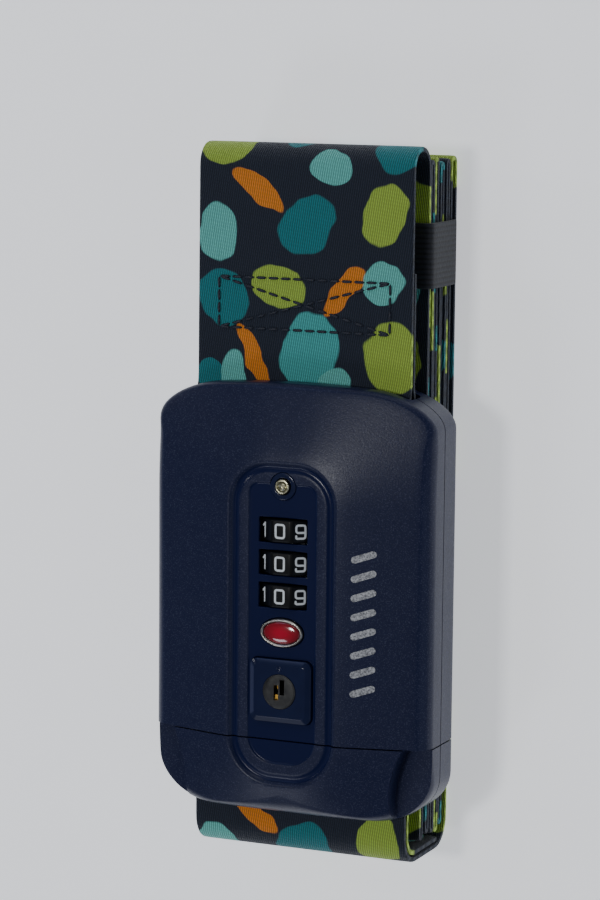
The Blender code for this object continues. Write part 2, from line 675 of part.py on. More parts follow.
def make_button():
    """Square release button with a flange under the cover, and the key cylinder in it."""
    half_x, half_y = BUTTON_ACROSS / 2, BUTTON_ALONG / 2
    flange_low = ROOF_Z - 2.8 * MM
    flange_high = flange_low + 1.6 * MM
    lip = 0.8 * MM
    bevel_in, bevel_down = BUTTON_BEVEL
    rows = []
    for grow, height in ((lip, flange_low), (lip, flange_high), (0, flange_high), (0, BUTTON_Z - bevel_down),
                         (-bevel_in, BUTTON_Z)):
        corner = max(BUTTON_CORNER + grow * 0.6, 0.5 * MM)
        spots = rounded_rectangle(0, BUTTON_Y, half_x + grow, half_y + grow, corner)
        rows.append([(x, y, height) for x, y in spots])
    origin = (0, BUTTON_Y, flange_low)
    button = add_object("release_button", loft(rows), navy_gloss(), origin=origin, smooth=30)
    bore = turned([(CYLINDER_RADIUS + GAP, flange_low - MM), (CYLINDER_RADIUS + GAP, BUTTON_Z + MM)], (0, BUTTON_Y))
    boolean(button, cutter("cylinder_bore_cut", bore))
    spring_seat = DECK_Z + DECK_THICK + GAP
    for side, sx in (("left", -1), ("right", 1)):
        spot = (sx * 5.7 * MM, BUTTON_Y)
        coil_spring(f"button_spring_{side}", spot, 1.0 * MM, 0.22 * MM, spring_seat, flange_low - GAP, 5)


PLUG_LOW_Z = DECK_Z + DECK_THICK + 0.9 * MM


def make_key_cylinder():
    """Sleeve fixed in the button, the plug that the key turns, its clip and its cam."""
    clip_low = PLUG_LOW_Z + 1.4 * MM
    sleeve_low = clip_low + 0.4 * MM + GAP
    centre = (0, BUTTON_Y)
    sleeve = tube(PLUG_RADIUS + GAP, CYLINDER_RADIUS, sleeve_low, BUTTON_Z + 0.1 * MM, centre)
    add_object("cylinder_sleeve", sleeve, zinc(), smooth=35)
    stub = 1.5 * MM
    origin = (0, BUTTON_Y, PLUG_LOW_Z)
    profile = [(stub, PLUG_LOW_Z), (stub, sleeve_low), (PLUG_RADIUS, sleeve_low), (PLUG_RADIUS, BUTTON_Z + 0.2 * MM)]
    plug = add_object("key_plug", turned(profile, centre), zinc(), origin=origin, smooth=35)
    for i, side in enumerate((-1, 1)):
        x = side * KEYWAY_SPLIT[0]
        y = BUTTON_Y + KEYWAY_RAISE + side * KEYWAY_SPLIT[1]
        slot = box((x - KEYWAY_WIDTH / 2, y - KEYWAY_LENGTH / 2, BUTTON_Z - KEYWAY_DEPTH),
                   (x + KEYWAY_WIDTH / 2, y + KEYWAY_LENGTH / 2, BUTTON_Z + MM))
        boolean(plug, cutter(f"keyway_cut_{i}", slot))
    clip = tube(stub + GAP, PLUG_RADIUS, clip_low, clip_low + 0.4 * MM, centre, count=24)
    add_object("plug_clip", clip, steel(), origin=origin, smooth=35)
    cam_low = PLUG_LOW_Z + 0.3 * MM
    cam = add_object("plug_cam", prism(rounded_rectangle(0, BUTTON_Y + 0.6 * MM, 2.4 * MM, 2.9 * MM, 1.8 * MM),
                                       cam_low, cam_low + 0.8 * MM), steel(), origin=origin)
    hole = turned([(stub + GAP, cam_low - MM), (stub + GAP, cam_low + 2 * MM)], centre, count=24)
    boolean(cam, cutter("cam_hole_cut", hole))


def make_latches():
    """A sliding latch on each side of the tongue plate, with a finger up to the button."""
    low_z = TONGUE_PLATE_Z - 0.2 * MM
    high_z = TONGUE_PLATE_Z + TONGUE_PLATE_THICK + 0.3 * MM
    finger_top = ROOF_Z - 3.5 * MM
    for side, sx in (("left", -1), ("right", 1)):
        tip = sx * (TONGUE_PLATE_HALF + GAP)
        back = sx * (TONGUE_PLATE_HALF + 8 * MM)
        finger = sx * (TONGUE_PLATE_HALF + 1.5 * MM)
        shape = [(tip, low_z), (back, low_z), (back, high_z), (finger, high_z), (finger, finger_top),
                 (tip, finger_top)]
        origin = (tip, BUTTON_Y, low_z)
        bm = prism([(x, z) for x, z in shape], BUTTON_Y - 2 * MM, BUTTON_Y + 2 * MM, axis=1)
        add_object(f"latch_{side}", bm, steel(), origin=origin)


# ---------------------------------------------------------------- tongue and bars

def make_tongue_plate():
    """Pressed steel tongue with a notch on each edge for the latches."""
    tip = SPLIT_Y + TONGUE_REACH
    root = TONGUE_BAR_Y + BAR_LOOP + WEB_THICK / 2 + GAP
    neck = SPLIT_Y - WALL - GAP
    half = TONGUE_PLATE_HALF
    notch_low, notch_high = BUTTON_Y - 2.6 * MM, BUTTON_Y + 2.6 * MM
    right = [(14 * MM, root), (14 * MM, neck), (half, neck), (half, notch_low), (half - 2 * MM, notch_low),
             (half - 2 * MM, notch_high), (half, notch_high), (half, tip - 4 * MM), (half - 4 * MM, tip)]
    left = [(-x, y) for x, y in reversed(right)]
    bm = prism(right + left, TONGUE_PLATE_Z, TONGUE_PLATE_Z + TONGUE_PLATE_THICK)
    add_object("tongue_plate", bm, steel(), origin=(0, SPLIT_Y, TONGUE_PLATE_Z))


def make_bars():
    """Round bars that the strap is looped over, one in the housing and one in the tongue."""
    for name, y, reach in (("housing_bar", HOUSING_BAR_Y, HALF - WALL - 4.0 * MM),
                           ("tongue_bar", TONGUE_BAR_Y, HALF - WALL - 3 * MM)):
        bar = turned([(BAR_RADIUS, -reach), (BAR_RADIUS, reach)], (y, BAR_Z), axis=0, count=20)
        add_object(name, bar, steel(), origin=(0, y, BAR_Z), smooth=35)


# ---------------------------------------------------------------- webbing

def arc(cy, cz, radius, start, end, count):
    """Points of an arc in the YZ plane; angles in degrees from +Y towards +Z."""
    return [(cy + radius * math.cos(math.radians(a)), cz + radius * math.sin(math.radians(a)))
            for a in np.linspace(start, end, count)]


def strap_bend(y, z, side, radius, ply):
    """Strap round a bar: in over it, round its far side and out under it; side is where the strap leaves."""
    low = [(y + side * (radius + 4 * MM), z - ply)]
    high = [(y + side * (radius + 4 * MM), z + ply)]
    if side > 0:
        return low + arc(y, z, radius, 290, 70, 9) + high
    return high + arc(y, z, radius, 110, -110, 9) + low


FOLD_HIGH_Y = BUNDLE_LENGTH / 2 - 3.2 * MM
FOLD_LOW_Y = -BUNDLE_LENGTH / 2 + 4.4 * MM
WEBBING_END_Y = -BUNDLE_LENGTH / 2 + 14 * MM


def layer_heights():
    return [TOP_LAYER_Z - i * FOLD_PITCH for i in range(FOLD_LAYERS - 1)] + [BOTTOM_LAYER_Z]


def main_webbing_path():
    """From the sewn end behind the housing's bar, over the far end and down through the fold."""
    path = [(HOUSING_BAR_Y + 7 * MM + SEWN_LENGTH, BAR_Z - PLY_OFFSET)]
    path += strap_bend(HOUSING_BAR_Y, BAR_Z, 1, BAR_LOOP, PLY_OFFSET)
    lead_z = BAR_Z + PLY_OFFSET
    turn = (lead_z - TOP_LAYER_Z) / 2
    turn_y = BUNDLE_LENGTH / 2 - WEB_THICK / 2 - turn
    path += arc(turn_y, TOP_LAYER_Z + turn, turn, 90, -90, 11)
    heights = layer_heights()
    for i, (z, below) in enumerate(zip(heights, heights[1:])):
        radius = (z - below) / 2
        step = (i % 3) * 0.5 * MM
        if i % 2 == 0:
            path += arc(FOLD_LOW_Y + radius + step, z - radius, radius, 90, 270, 5)
        else:
            path += arc(FOLD_HIGH_Y - radius - step, z - radius, radius, 90, -90, 5)
    return path + [(WEBBING_END_Y, BOTTOM_LAYER_Z)]


def tongue_webbing_path():
    """From the bottom layer, up round the fold's end and over the tongue's bar, to the free end."""
    y_out = -BUNDLE_LENGTH / 2 + WEB_THICK / 2
    lead_z = BAR_Z + PLY_OFFSET
    path = [(WEBBING_END_Y - GAP, BOTTOM_LAYER_Z)]
    path += arc(y_out + END_TURN, BOTTOM_LAYER_Z + END_TURN, END_TURN, 270, 180, 7)
    path += arc(y_out + END_TURN, lead_z - END_TURN, END_TURN, 180, 90, 7)
    path += strap_bend(TONGUE_BAR_Y, BAR_Z, -1, BAR_LOOP, PLY_OFFSET)
    inner = END_TURN - WEB_THICK - GAP
    path += arc(y_out + END_TURN, lead_z - END_TURN, inner, 90, 180, 6)
    return path + [(path[-1][0], lead_z - END_TURN - TAIL_LENGTH)]


def path_length(path):
    points = np.array(path)
    return float(np.linalg.norm(np.diff(points, axis=0), axis=1).sum())


def ribbon(name, path, width, thick, finish):
    """A flat band carried along a path in the YZ plane and as wide as it is in X."""
    points = np.array(path)
    along = np.diff(points, axis=0)
    along /= np.linalg.norm(along, axis=1)[:, None]
    side = np.column_stack([-along[:, 1], along[:, 0]])
    normal = np.vstack([side[:1], side[:-1] + side[1:], side[-1:]])
    normal /= np.linalg.norm(normal, axis=1)[:, None]
    lean = np.concatenate([[1.0], np.sum(normal[1:-1] * side[1:], axis=1), [1.0]])
    reach = (thick / 2) / lean
    upper = points + normal * reach[:, None]
    lower = points - normal * reach[:, None]
    bm = bmesh.new()
    rows = []
    for x in (-width / 2, width / 2):
        rows.append([bm.verts.new((x, y, z)) for y, z in upper])
        rows.append([bm.verts.new((x, y, z)) for y, z in lower])
    for k in range(len(path) - 1):
        for a, b in ((0, 1), (1, 3), (3, 2), (2, 0)):
            bm.faces.new((rows[a][k], rows[b][k], rows[b][k + 1], rows[a][k + 1]))
    bm.faces.new([rows[i][0] for i in (0, 1, 3, 2)])
    bm.faces.new([rows[i][-1] for i in (0, 1, 3, 2)])
    add_object(name, bm, finish, smooth=40)


def make_webbing():
    ribbon("webbing", main_webbing_path(), WEB_WIDTH, WEB_THICK, webbing_cloth())
    ribbon("webbing_tongue_end", tongue_webbing_path(), WEB_WIDTH, WEB_THICK, webbing_cloth())


def make_band():
    """Elastic band round the fold; the bottom layer runs outside it."""
    room_x = WEB_WIDTH / 2 + GAP
    low = BOTTOM_LAYER_Z + WEB_THICK / 2 + GAP / 2
    high = TOP_LAYER_Z + WEB_THICK / 2 + GAP + BAND_THICK
    y = TOP_Y + 0.55 * (ABOVE_BUCKLE - BAND_WIDTH)
    band = rounded_rectangle(0, (low + high) / 2, room_x + BAND_THICK, (high - low) / 2, 1.2 * MM, steps=3)
    room = rounded_rectangle(0, (low + high) / 2, room_x, (high - low) / 2 - BAND_THICK, 0.3 * MM, steps=3)
    bm = bmesh.new()
    rows = []
    for spots, at in ((room, y), (band, y), (band, y + BAND_WIDTH), (room, y + BAND_WIDTH)):
        rows.append([bm.verts.new((x, at, z)) for x, z in spots])
    count = len(band)
    for k in range(4):
        low_row, high_row = rows[k], rows[(k + 1) % 4]
        for j in range(count):
            n = (j + 1) % count
            bm.faces.new((low_row[j], low_row[n], high_row[n], high_row[j]))
    add_object("elastic_band", bm, elastic_cloth(), smooth=35)


for old in list(bpy.data.objects):
    bpy.data.objects.remove(old, do_unlink=True)

make_covers()
make_screws()
make_chassis()
make_dials()
make_detent_spring()
make_reset()
make_badge()
make_button()
make_key_cylinder()
make_latches()
make_tongue_plate()
make_bars()
make_webbing()
make_band()
print("webbing lengths, m:", path_length(main_webbing_path()), path_length(tongue_webbing_path()))
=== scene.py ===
"""Luggage strap with a combination-lock buckle, in its real finishes.

The buckle is closed and lies on its own folded webbing. Each section makes one piece, or one group
of like pieces, where the CAD model has it, with its sizes, its mesh and its material together.
"""

import math

import bmesh
import bpy
import numpy as np
from mathutils import Matrix, Vector


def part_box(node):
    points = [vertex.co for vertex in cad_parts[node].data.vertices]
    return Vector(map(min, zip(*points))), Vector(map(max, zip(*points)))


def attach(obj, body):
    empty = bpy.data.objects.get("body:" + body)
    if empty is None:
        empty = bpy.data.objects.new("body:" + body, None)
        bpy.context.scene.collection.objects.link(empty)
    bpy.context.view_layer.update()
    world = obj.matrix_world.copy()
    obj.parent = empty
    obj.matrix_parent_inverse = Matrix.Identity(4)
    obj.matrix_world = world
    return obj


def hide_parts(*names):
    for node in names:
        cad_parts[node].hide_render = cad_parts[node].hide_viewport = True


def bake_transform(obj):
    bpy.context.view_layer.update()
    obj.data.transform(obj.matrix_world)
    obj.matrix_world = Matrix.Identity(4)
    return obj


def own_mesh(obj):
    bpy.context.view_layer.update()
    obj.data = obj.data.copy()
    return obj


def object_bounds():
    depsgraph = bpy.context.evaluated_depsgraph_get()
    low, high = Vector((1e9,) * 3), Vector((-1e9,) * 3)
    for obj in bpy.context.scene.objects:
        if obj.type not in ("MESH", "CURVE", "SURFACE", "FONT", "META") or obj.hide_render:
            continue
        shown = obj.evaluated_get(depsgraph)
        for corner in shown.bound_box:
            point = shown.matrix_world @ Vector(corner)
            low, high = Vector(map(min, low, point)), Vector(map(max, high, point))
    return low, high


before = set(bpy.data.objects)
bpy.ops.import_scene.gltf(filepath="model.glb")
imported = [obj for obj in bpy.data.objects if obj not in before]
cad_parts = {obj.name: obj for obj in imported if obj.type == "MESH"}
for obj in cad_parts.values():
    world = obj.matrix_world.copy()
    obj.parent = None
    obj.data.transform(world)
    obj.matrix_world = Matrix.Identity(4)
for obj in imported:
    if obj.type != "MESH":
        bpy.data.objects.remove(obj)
cad_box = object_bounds()
MM = 0.001

# ---------------------------------------------------------------- camera, table and lights
# The strap lies on a pale matt table. The camera is nearly overhead, a little to the right of the
# buckle's face. Soft boxes hang overhead and, weaker, on all sides, and a small lamp gives the
# glint on the button's corner.

CAMERA_PLACE = Vector((274.6, 108.3, 652.0)) * MM
CAMERA_TO_RIGHT = math.radians(23.7)
CAMERA_TO_TOP = math.radians(8.0)
CAMERA_ROLL = math.radians(0.54)
LENS = 128.0
SKY_STRENGTH = 0.12
TABLE_HALF = 2.5
MIDDLE = (cad_box[0] + cad_box[1]) / 2


def facing(backward, roll=0.0):
    """Turn whose Z axis is backward and whose Y axis leans as little as it can from the world's Y."""
    z = Vector(backward).normalized()
    x = Vector((0, 1, 0)).cross(z).normalized()
    turn = Matrix((x, z.cross(x), z)).transposed()
    return (turn @ Matrix.Rotation(roll, 3, "Z")).to_4x4()


def linear(colour):
    """sRGB hex to linear: c/12.92 up to 0.04045 and ((c + 0.055)/1.055)^2.4 above it."""
    parts = [int(colour[i:i + 2], 16) / 255 for i in (1, 3, 5)]
    return tuple(c / 12.92 if c <= 0.04045 else ((c + 0.055) / 1.055) ** 2.4 for c in parts) + (1.0,)


def add_node(tree, kind, inputs=None, **settings):
    """A shader node with its settings; inputs maps a socket to a value or to the socket that feeds it."""
    made = tree.nodes.new("ShaderNode" + kind)
    for name, value in settings.items():
        setattr(made, name, value)
    for key, value in (inputs or {}).items():
        if isinstance(value, bpy.types.NodeSocket):
            tree.links.new(value, made.inputs[key])
        else:
            made.inputs[key].default_value = value
    return made


def new_material(name):
    """A named material, its node tree and its shader."""
    made = bpy.data.materials.new(name)
    made.use_nodes = True
    return made, made.node_tree, made.node_tree.nodes["Principled BSDF"]


def feed(tree, shader, **sockets):
    """Links or sets the shader's sockets; a name's underscores stand for spaces."""
    for name, value in sockets.items():
        socket = shader.inputs[name.replace("_", " ")]
        if isinstance(value, bpy.types.NodeSocket):
            tree.links.new(value, socket)
        else:
            socket.default_value = value


def new_object(name, points, faces, material=None, smooth=None):
    """An object at the origin from points and faces, with its faces turned outwards."""
    mesh = bpy.data.meshes.new(name)
    mesh.from_pydata(np.asarray(points, float).tolist(), [], faces)
    work = bmesh.new()
    work.from_mesh(mesh)
    bmesh.ops.recalc_face_normals(work, faces=work.faces)
    work.to_mesh(mesh)
    work.free()
    if smooth is not None:
        mesh.shade_smooth()
        mesh.set_sharp_from_angle(angle=math.radians(smooth))
    if material is not None:
        mesh.materials.append(material)
    made = bpy.data.objects.new(name, mesh)
    bpy.context.scene.collection.objects.link(made)
    return made


camera = bpy.data.objects.new("camera", bpy.data.cameras.new("camera"))
camera.data.lens = LENS
camera.data.sensor_width = 36.0
camera.data.clip_end = 10.0
to_camera = Vector((math.sin(CAMERA_TO_RIGHT) * math.cos(CAMERA_TO_TOP), math.sin(CAMERA_TO_TOP),
                    math.cos(CAMERA_TO_RIGHT) * math.cos(CAMERA_TO_TOP)))
camera.matrix_world = Matrix.Translation(CAMERA_PLACE) @ facing(to_camera, CAMERA_ROLL)
bpy.context.scene.collection.objects.link(camera)
bpy.context.scene.camera = camera

for name, direction, distance, size, power, tint in (
    ("overhead_box", (-0.16, 0.10, 0.98), 1.3, 0.16, 4.3, "#ffffff"),
    ("top_box", (-0.39, 0.72, 0.57), 1.3, 0.50, 1.1, "#b8c8ff"),
    ("low_box", (-0.40, -0.58, 0.71), 1.3, 0.30, 1.8, "#eef2ff"),
    ("front_box", (-0.39, -0.84, 0.38), 1.3, 0.50, 0.5, "#eef2ff"),
    ("left_box", (-0.96, -0.14, 0.22), 1.3, 0.50, 0.5, "#b8c8ff"),
    ("corner_lamp", (-0.804, 0.273, 0.528), 1.3, 0.06, 0.5, "#ffffff"),
    ("right_box", (0.80, -0.35, 0.50), 1.4, 0.90, 1.6, "#d4e0ff"),
    ("back_box", (0.05, 0.93, 0.40), 1.4, 0.60, 1.6, "#ffffff"),
):
    light = bpy.data.lights.new(name, "AREA")
    light.size = size
    light.energy = power
    light.color = linear(tint)[:3]
    lamp = bpy.data.objects.new(name, light)
    away = Vector(direction).normalized()
    lamp.matrix_world = Matrix.Translation(MIDDLE + away * distance) @ facing(away)
    bpy.context.scene.collection.objects.link(lamp)

world = bpy.data.worlds.new("studio")
world.use_nodes = True
world.node_tree.nodes["Background"].inputs["Color"].default_value = linear("#e9edf2")
world.node_tree.nodes["Background"].inputs["Strength"].default_value = SKY_STRENGTH
bpy.context.scene.world = world

# Matt laminate: nearly white, with a faint mottle.
laminate, tree, shader = new_material("matt_laminate")
place = add_node(tree, "TexCoord").outputs["Object"]
mottle = add_node(tree, "TexNoise", {"Vector": place, "Scale": 60.0, "Detail": 4.0})
shade = add_node(tree, "ValToRGB", {"Fac": mottle.outputs["Fac"]})
shade.color_ramp.elements[0].color = linear("#f1f2f4")
shade.color_ramp.elements[1].color = linear("#fafbfc")
feed(tree, shader, Base_Color=shade.outputs["Color"], Roughness=0.8, Emission_Color=linear("#f8faff"),
     Emission_Strength=0.7)
corners = [(x * TABLE_HALF, y * TABLE_HALF) for x, y in ((-1, -1), (1, -1), (1, 1), (-1, 1))]
table = new_object("table", [(x, y, -0.1 * MM) for x, y in corners], [(0, 1, 2, 3)], laminate)

# ---------------------------------------------------------------- webbing
# Polyester webbing 50 mm wide, woven in narrow slanting ribs and printed with leaves on navy. One
# end is sewn round the housing's bar, the other is looped over the tongue's bar, and the length
# between them is folded to and fro under the buckle.

WEB_WIDTH = 50 * MM
WEB_THICK = 1.1 * MM              # a little under the CAD strap's 1.2, so that layers don't touch
CAD_WEB_THICK = 1.2 * MM
FOLD_LAYERS = 11
FOLD_PITCH = 1.42 * MM
BAND_THICK = 1.0 * MM
GAP = 0.3 * MM
SEWN_LENGTH = 24.3 * MM
TAIL_LENGTH = 13 * MM
TURN_RADIUS = 6 * MM              # where the tongue's end comes up round the fold
BUNDLE_END = cad_box[1].y
BOTTOM_LAYER_Z = CAD_WEB_THICK / 2
TOP_LAYER_Z = BOTTOM_LAYER_Z + CAD_WEB_THICK + BAND_THICK + GAP + (FOLD_LAYERS - 2) * FOLD_PITCH
FOLD_HIGH_Y = BUNDLE_END - 3.2 * MM
FOLD_LOW_Y = 4.4 * MM - BUNDLE_END
FOLD_STAGGER = 0.5 * MM           # layers end in steps of this much
WEBBING_END_Y = 14 * MM - BUNDLE_END
HOUSING_BAR = (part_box("housing_bar")[0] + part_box("housing_bar")[1]) / 2
TONGUE_BAR = (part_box("tongue_bar")[0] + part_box("tongue_bar")[1]) / 2
BAR_RADIUS = (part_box("housing_bar")[1].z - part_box("housing_bar")[0].z) / 2
BAR_LOOP = BAR_RADIUS + GAP + CAD_WEB_THICK / 2
BAR_EASE = 5 * MM                 # length over which a loop's ends ease to the plies
SEWN_FROM_BAR = 7 * MM
PLY_OFFSET = (CAD_WEB_THICK + GAP) / 2
LEAD_Z = HOUSING_BAR.z + PLY_OFFSET


def arc(y, z, radius, start, end):
    """Points of an arc in the YZ plane, 12 degrees apart; angles run from +Y towards +Z."""
    turn = np.radians(np.linspace(start, end, round(abs(end - start) / 12) + 1))
    return np.column_stack([y + radius * np.cos(turn), z + radius * np.sin(turn)])


def eased(start, end, rise):
    """Points between two places along Y whose height follows 1 - (1 - t)^rise, so that it leaves
    steeply."""
    share = np.linspace(0, 1, 9)[1:]
    drop = 1 - (1 - share) ** rise
    return np.column_stack([start[0] + (end[0] - start[0]) * share, start[1] + (end[1] - start[1]) * drop])


def round_bar(bar, side):
    """Strap round a bar and back: an arc of 220 degrees whose ends ease to the plies' heights, on the
    given side."""
    reach = bar.y + side * (BAR_LOOP + BAR_EASE)
    loop = arc(bar.y, bar.z, BAR_LOOP, 290, 70) if side > 0 else arc(bar.y, bar.z, BAR_LOOP, 110, -110)
    first, last = (-PLY_OFFSET, PLY_OFFSET) if side > 0 else (PLY_OFFSET, -PLY_OFFSET)
    lead_in = eased(loop[0], (reach, bar.z + first), 1.6)[::-1]
    return np.vstack([lead_in, loop, eased(loop[-1], (reach, bar.z + last), 1.6)])


def main_route():
    """Sewn end, housing's bar, over the fold's far end, then layer by layer down to the bottom one."""
    turn = (LEAD_Z - TOP_LAYER_Z) / 2
    route = [[(HOUSING_BAR.y + SEWN_FROM_BAR + SEWN_LENGTH, HOUSING_BAR.z - PLY_OFFSET)],
             round_bar(HOUSING_BAR, 1),
             arc(BUNDLE_END - CAD_WEB_THICK / 2 - turn, TOP_LAYER_Z + turn, turn, 90, -90)]
    heights = [TOP_LAYER_Z - i * FOLD_PITCH for i in range(FOLD_LAYERS - 1)] + [BOTTOM_LAYER_Z]
    for i, (high, low) in enumerate(zip(heights, heights[1:])):
        radius = (high - low) / 2
        step = (i % 3) * FOLD_STAGGER
        if i % 2 == 0:
            route.append(arc(FOLD_LOW_Y + radius + step, high - radius, radius, 90, 270))
        else:
            route.append(arc(FOLD_HIGH_Y - radius - step, high - radius, radius, 90, -90))
    return np.vstack(route + [[(WEBBING_END_Y, BOTTOM_LAYER_Z)]])


def tongue_route():
    """Bottom layer, up round the fold's end, over the tongue's bar and back down as a loose tail."""
    y = CAD_WEB_THICK / 2 - BUNDLE_END + TURN_RADIUS
    up = LEAD_Z - TURN_RADIUS
    inner = TURN_RADIUS - CAD_WEB_THICK - GAP
    tail = arc(y, up, inner, 90, 180)
    return np.vstack([[(WEBBING_END_Y - GAP, BOTTOM_LAYER_Z)],
                      arc(y, BOTTOM_LAYER_Z + TURN_RADIUS, TURN_RADIUS, 270, 180),
                      arc(y, up, TURN_RADIUS, 180, 90), round_bar(TONGUE_BAR, -1),
                      tail, [(tail[-1, 0], up - TAIL_LENGTH)]])


def respaced(route, turn_step, length_step):
    """The same line with points at even steps of its turning over turn_step degrees plus its length over
    length_step."""
    fine = np.linspace(0, 1, 7)[:-1, None, None]
    ahead = route[1:]
    dense = (route[None, :-1] * (1 - fine) + ahead[None] * fine).transpose(1, 0, 2).reshape(-1, 2)
    dense = np.vstack([dense, route[-1:]])
    step = np.diff(dense, axis=0)
    length = np.linalg.norm(step, axis=1)
    dense = dense[np.append(True, length > 1e-9)]
    step, length = step[length > 1e-9], length[length > 1e-9]
    heading = np.unwrap(np.arctan2(step[:, 1], step[:, 0]))
    turning = np.degrees(np.abs(np.diff(heading, prepend=heading[0])))
    amount = np.append(0, np.cumsum(turning / turn_step + length / length_step))
    along = np.append(0, np.cumsum(length))
    at = np.linspace(0, amount[-1], int(amount[-1]) + 1)
    return np.column_stack([np.interp(at, amount, dense[:, k]) for k in (0, 1)]), np.interp(at,
                                                                                            amount, along)


def flat_section(width, thick, count=28):
    """Superellipse of power 16: (w/2·|cos t|^(1/8), h/2·|sin t|^(1/8)), with the signs of cos t and sin
    t."""
    turn = np.linspace(0, 2 * np.pi, count, endpoint=False) + np.pi / count
    c, s = np.cos(turn), np.sin(turn)
    return np.column_stack([width / 2 * np.sign(c) * np.abs(c) ** 0.125,
                            thick / 2 * np.sign(s) * np.abs(s) ** 0.125])


def ring_faces(rows, count, closed=False):
    """Quads between rows of points that close on themselves; the end rows are capped unless the rows close
    too."""
    i, j = np.meshgrid(np.arange(rows if closed else rows - 1), np.arange(count), indexing="ij")
    a, b, on = i * count + j, i * count + (j + 1) % count, (i + 1) % rows * count
    quads = np.stack([a, b, on + (j + 1) % count, on + j], -1).reshape(-1, 4).tolist()
    ends = [] if closed else [list(range(count))[::-1], list(range((rows - 1) * count, rows * count))]
    return quads + ends


SIDE_DRIFT = 0.2 * MM             # as hand-folded layers have
DRIFT_REPEAT = 0.37


def strap_piece(name, route, start, material):
    """The strap's section carried along a route in the YZ plane, with a sideways drift
    d·sin(2π·length/0.37 m)."""
    line, along = respaced(route, 9.0, 5 * MM)
    along = along + start
    heading = np.gradient(line, axis=0)
    heading /= np.linalg.norm(heading, axis=1)[:, None]
    normal = np.column_stack([-heading[:, 1], heading[:, 0]])
    section = flat_section(WEB_WIDTH, WEB_THICK)
    drift = SIDE_DRIFT * np.sin(along * 2 * np.pi / DRIFT_REPEAT) * np.clip((along - start) / 0.1, 0, 1)
    x = section[None, :, 0] + drift[:, None]
    spots = line[:, None, :] + normal[:, None, :] * section[None, :, 1, None]
    points = np.concatenate([x[..., None], spots], axis=2).reshape(-1, 3)
    made = new_object(name, points, ring_faces(len(line), len(section)), material, smooth=50)
    cloth = np.zeros((len(points), 3), np.float32)
    cloth[:, 0] = np.tile(section[:, 0], len(line))
    cloth[:, 1] = np.repeat(along, len(section))
    made.data.attributes.new("cloth", "FLOAT_VECTOR", "POINT").data.foreach_set("vector", cloth.ravel())
    return made


def route_length(route):
    return float(np.linalg.norm(np.diff(route, axis=0), axis=1).sum())


# Printed polyester webbing: matt, with a dry sheen. Its yarns are 0.3 mm, drawn as ribs of 0.5 mm so that
# they show, and its colour is painted lighter on the rib crests and darker between ribs and picks, as painted
# highlight and shade of the weave. The print repeats every 64 mm; a leaf is its colour, its place across and
# along in mm, its half sizes in mm and its turn in degrees.
PRINT_REPEAT = 64 * MM
NAVY, TEAL, SEA, TURQUOISE, ORANGE, LIME = "#1c2636", "#178389", "#4fb9b4", "#74d0c4", "#f08d28", "#a9c84c"
PRINTED_LEAVES = (
    (SEA, 1.4, 6.0, 6.5, 8.6, -14), (TEAL, -22.2, 0.3, 3.4, 2.9, 0),
    (TURQUOISE, -16.4, 0.2, 3.2, 5.4, 4), (ORANGE, -11.6, 4.2, 2.1, 8.0, 24),
    (TURQUOISE, 7.4, -0.8, 4.0, 3.7, 0),
    (LIME, 21.2, 5.4, 7.0, 7.6, 12), (TEAL, -19.0, 17.0, 5.5, 6.5, 30), (LIME, -6.0, 20.0, 6.5, 4.4, -20),
    (ORANGE, 9.0, 19.5, 2.3, 7.0, -38), (TURQUOISE, 18.0, 21.5, 5.2, 4.6, 10),
    (TURQUOISE, -20.5, 31.0, 4.6, 6.0, 0),
    (TEAL, 0.5, 33.0, 7.2, 5.6, 40), (LIME, 18.5, 36.0, 4.8, 7.0, -15), (ORANGE, -11.0, 40.5, 2.3, 7.4, 52),
    (TURQUOISE, 6.0, 45.5, 4.4, 3.8, 0), (TEAL, 20.5, 50.0, 5.6, 5.0, -30),
    (LIME, -18.5, 51.0, 6.2, 4.8, 25),
    (TEAL, -3.0, 55.5, 4.4, 5.4, 0), (ORANGE, 11.5, 57.0, 2.2, 6.2, 68),
)
RIB = 0.5 * MM
PICK = 0.8 * MM
BAND_UNIT = 2 * math.pi / 20      # a Wave node's bands repeat at this length of its scaled input

printed_webbing, tree, shader = new_material("printed_polyester_webbing")
cloth = add_node(tree, "Attribute", attribute_name="cloth").outputs["Vector"]
wander = add_node(tree, "TexNoise", {"Vector": cloth, "Scale": 170.0, "Detail": 1.0})
centred = add_node(tree, "VectorMath", {0: wander.outputs["Color"], 1: (0.5, 0.5, 0.5)},
                   operation="SUBTRACT")
strayed = add_node(tree, "VectorMath", {0: centred.outputs[0], 1: (3 * MM, 3 * MM, 0), 2: cloth},
                   operation="MULTIPLY_ADD")
colour = None
for tone, across, along, half_across, half_along, turn in PRINTED_LEAVES:
    middle = (across * MM, along * MM, 0)
    away = add_node(tree, "VectorMath", {0: strayed.outputs[0], 1: middle}, operation="SUBTRACT")
    wrapped = add_node(tree, "VectorMath",
                       {0: away.outputs[0], 1: (1, PRINT_REPEAT / 2, 1), 2: (-1, -PRINT_REPEAT / 2, -1)},
                       operation="WRAP")
    turned_leaf = add_node(tree, "VectorRotate",
                           {"Vector": wrapped.outputs[0], "Angle": math.radians(-turn)},
                           rotation_type="Z_AXIS")
    scaled = add_node(tree, "VectorMath",
                      {0: turned_leaf.outputs[0], 1: (1 / (half_across * MM), 1 / (half_along * MM), 0)},
                      operation="MULTIPLY")
    distance = add_node(tree, "VectorMath", {0: scaled.outputs[0]}, operation="LENGTH")
    inside = add_node(tree, "MapRange",
                      {"Value": distance.outputs["Value"], "From Min": 1.03, "From Max": 0.97})
    under = colour.outputs[2] if colour else linear(NAVY)
    colour = add_node(tree, "Mix", {0: inside.outputs[0], 6: under, 7: linear(tone)}, data_type="RGBA")
slant = add_node(tree, "Mapping", {"Vector": cloth, "Rotation": (0, 0, math.radians(9))})
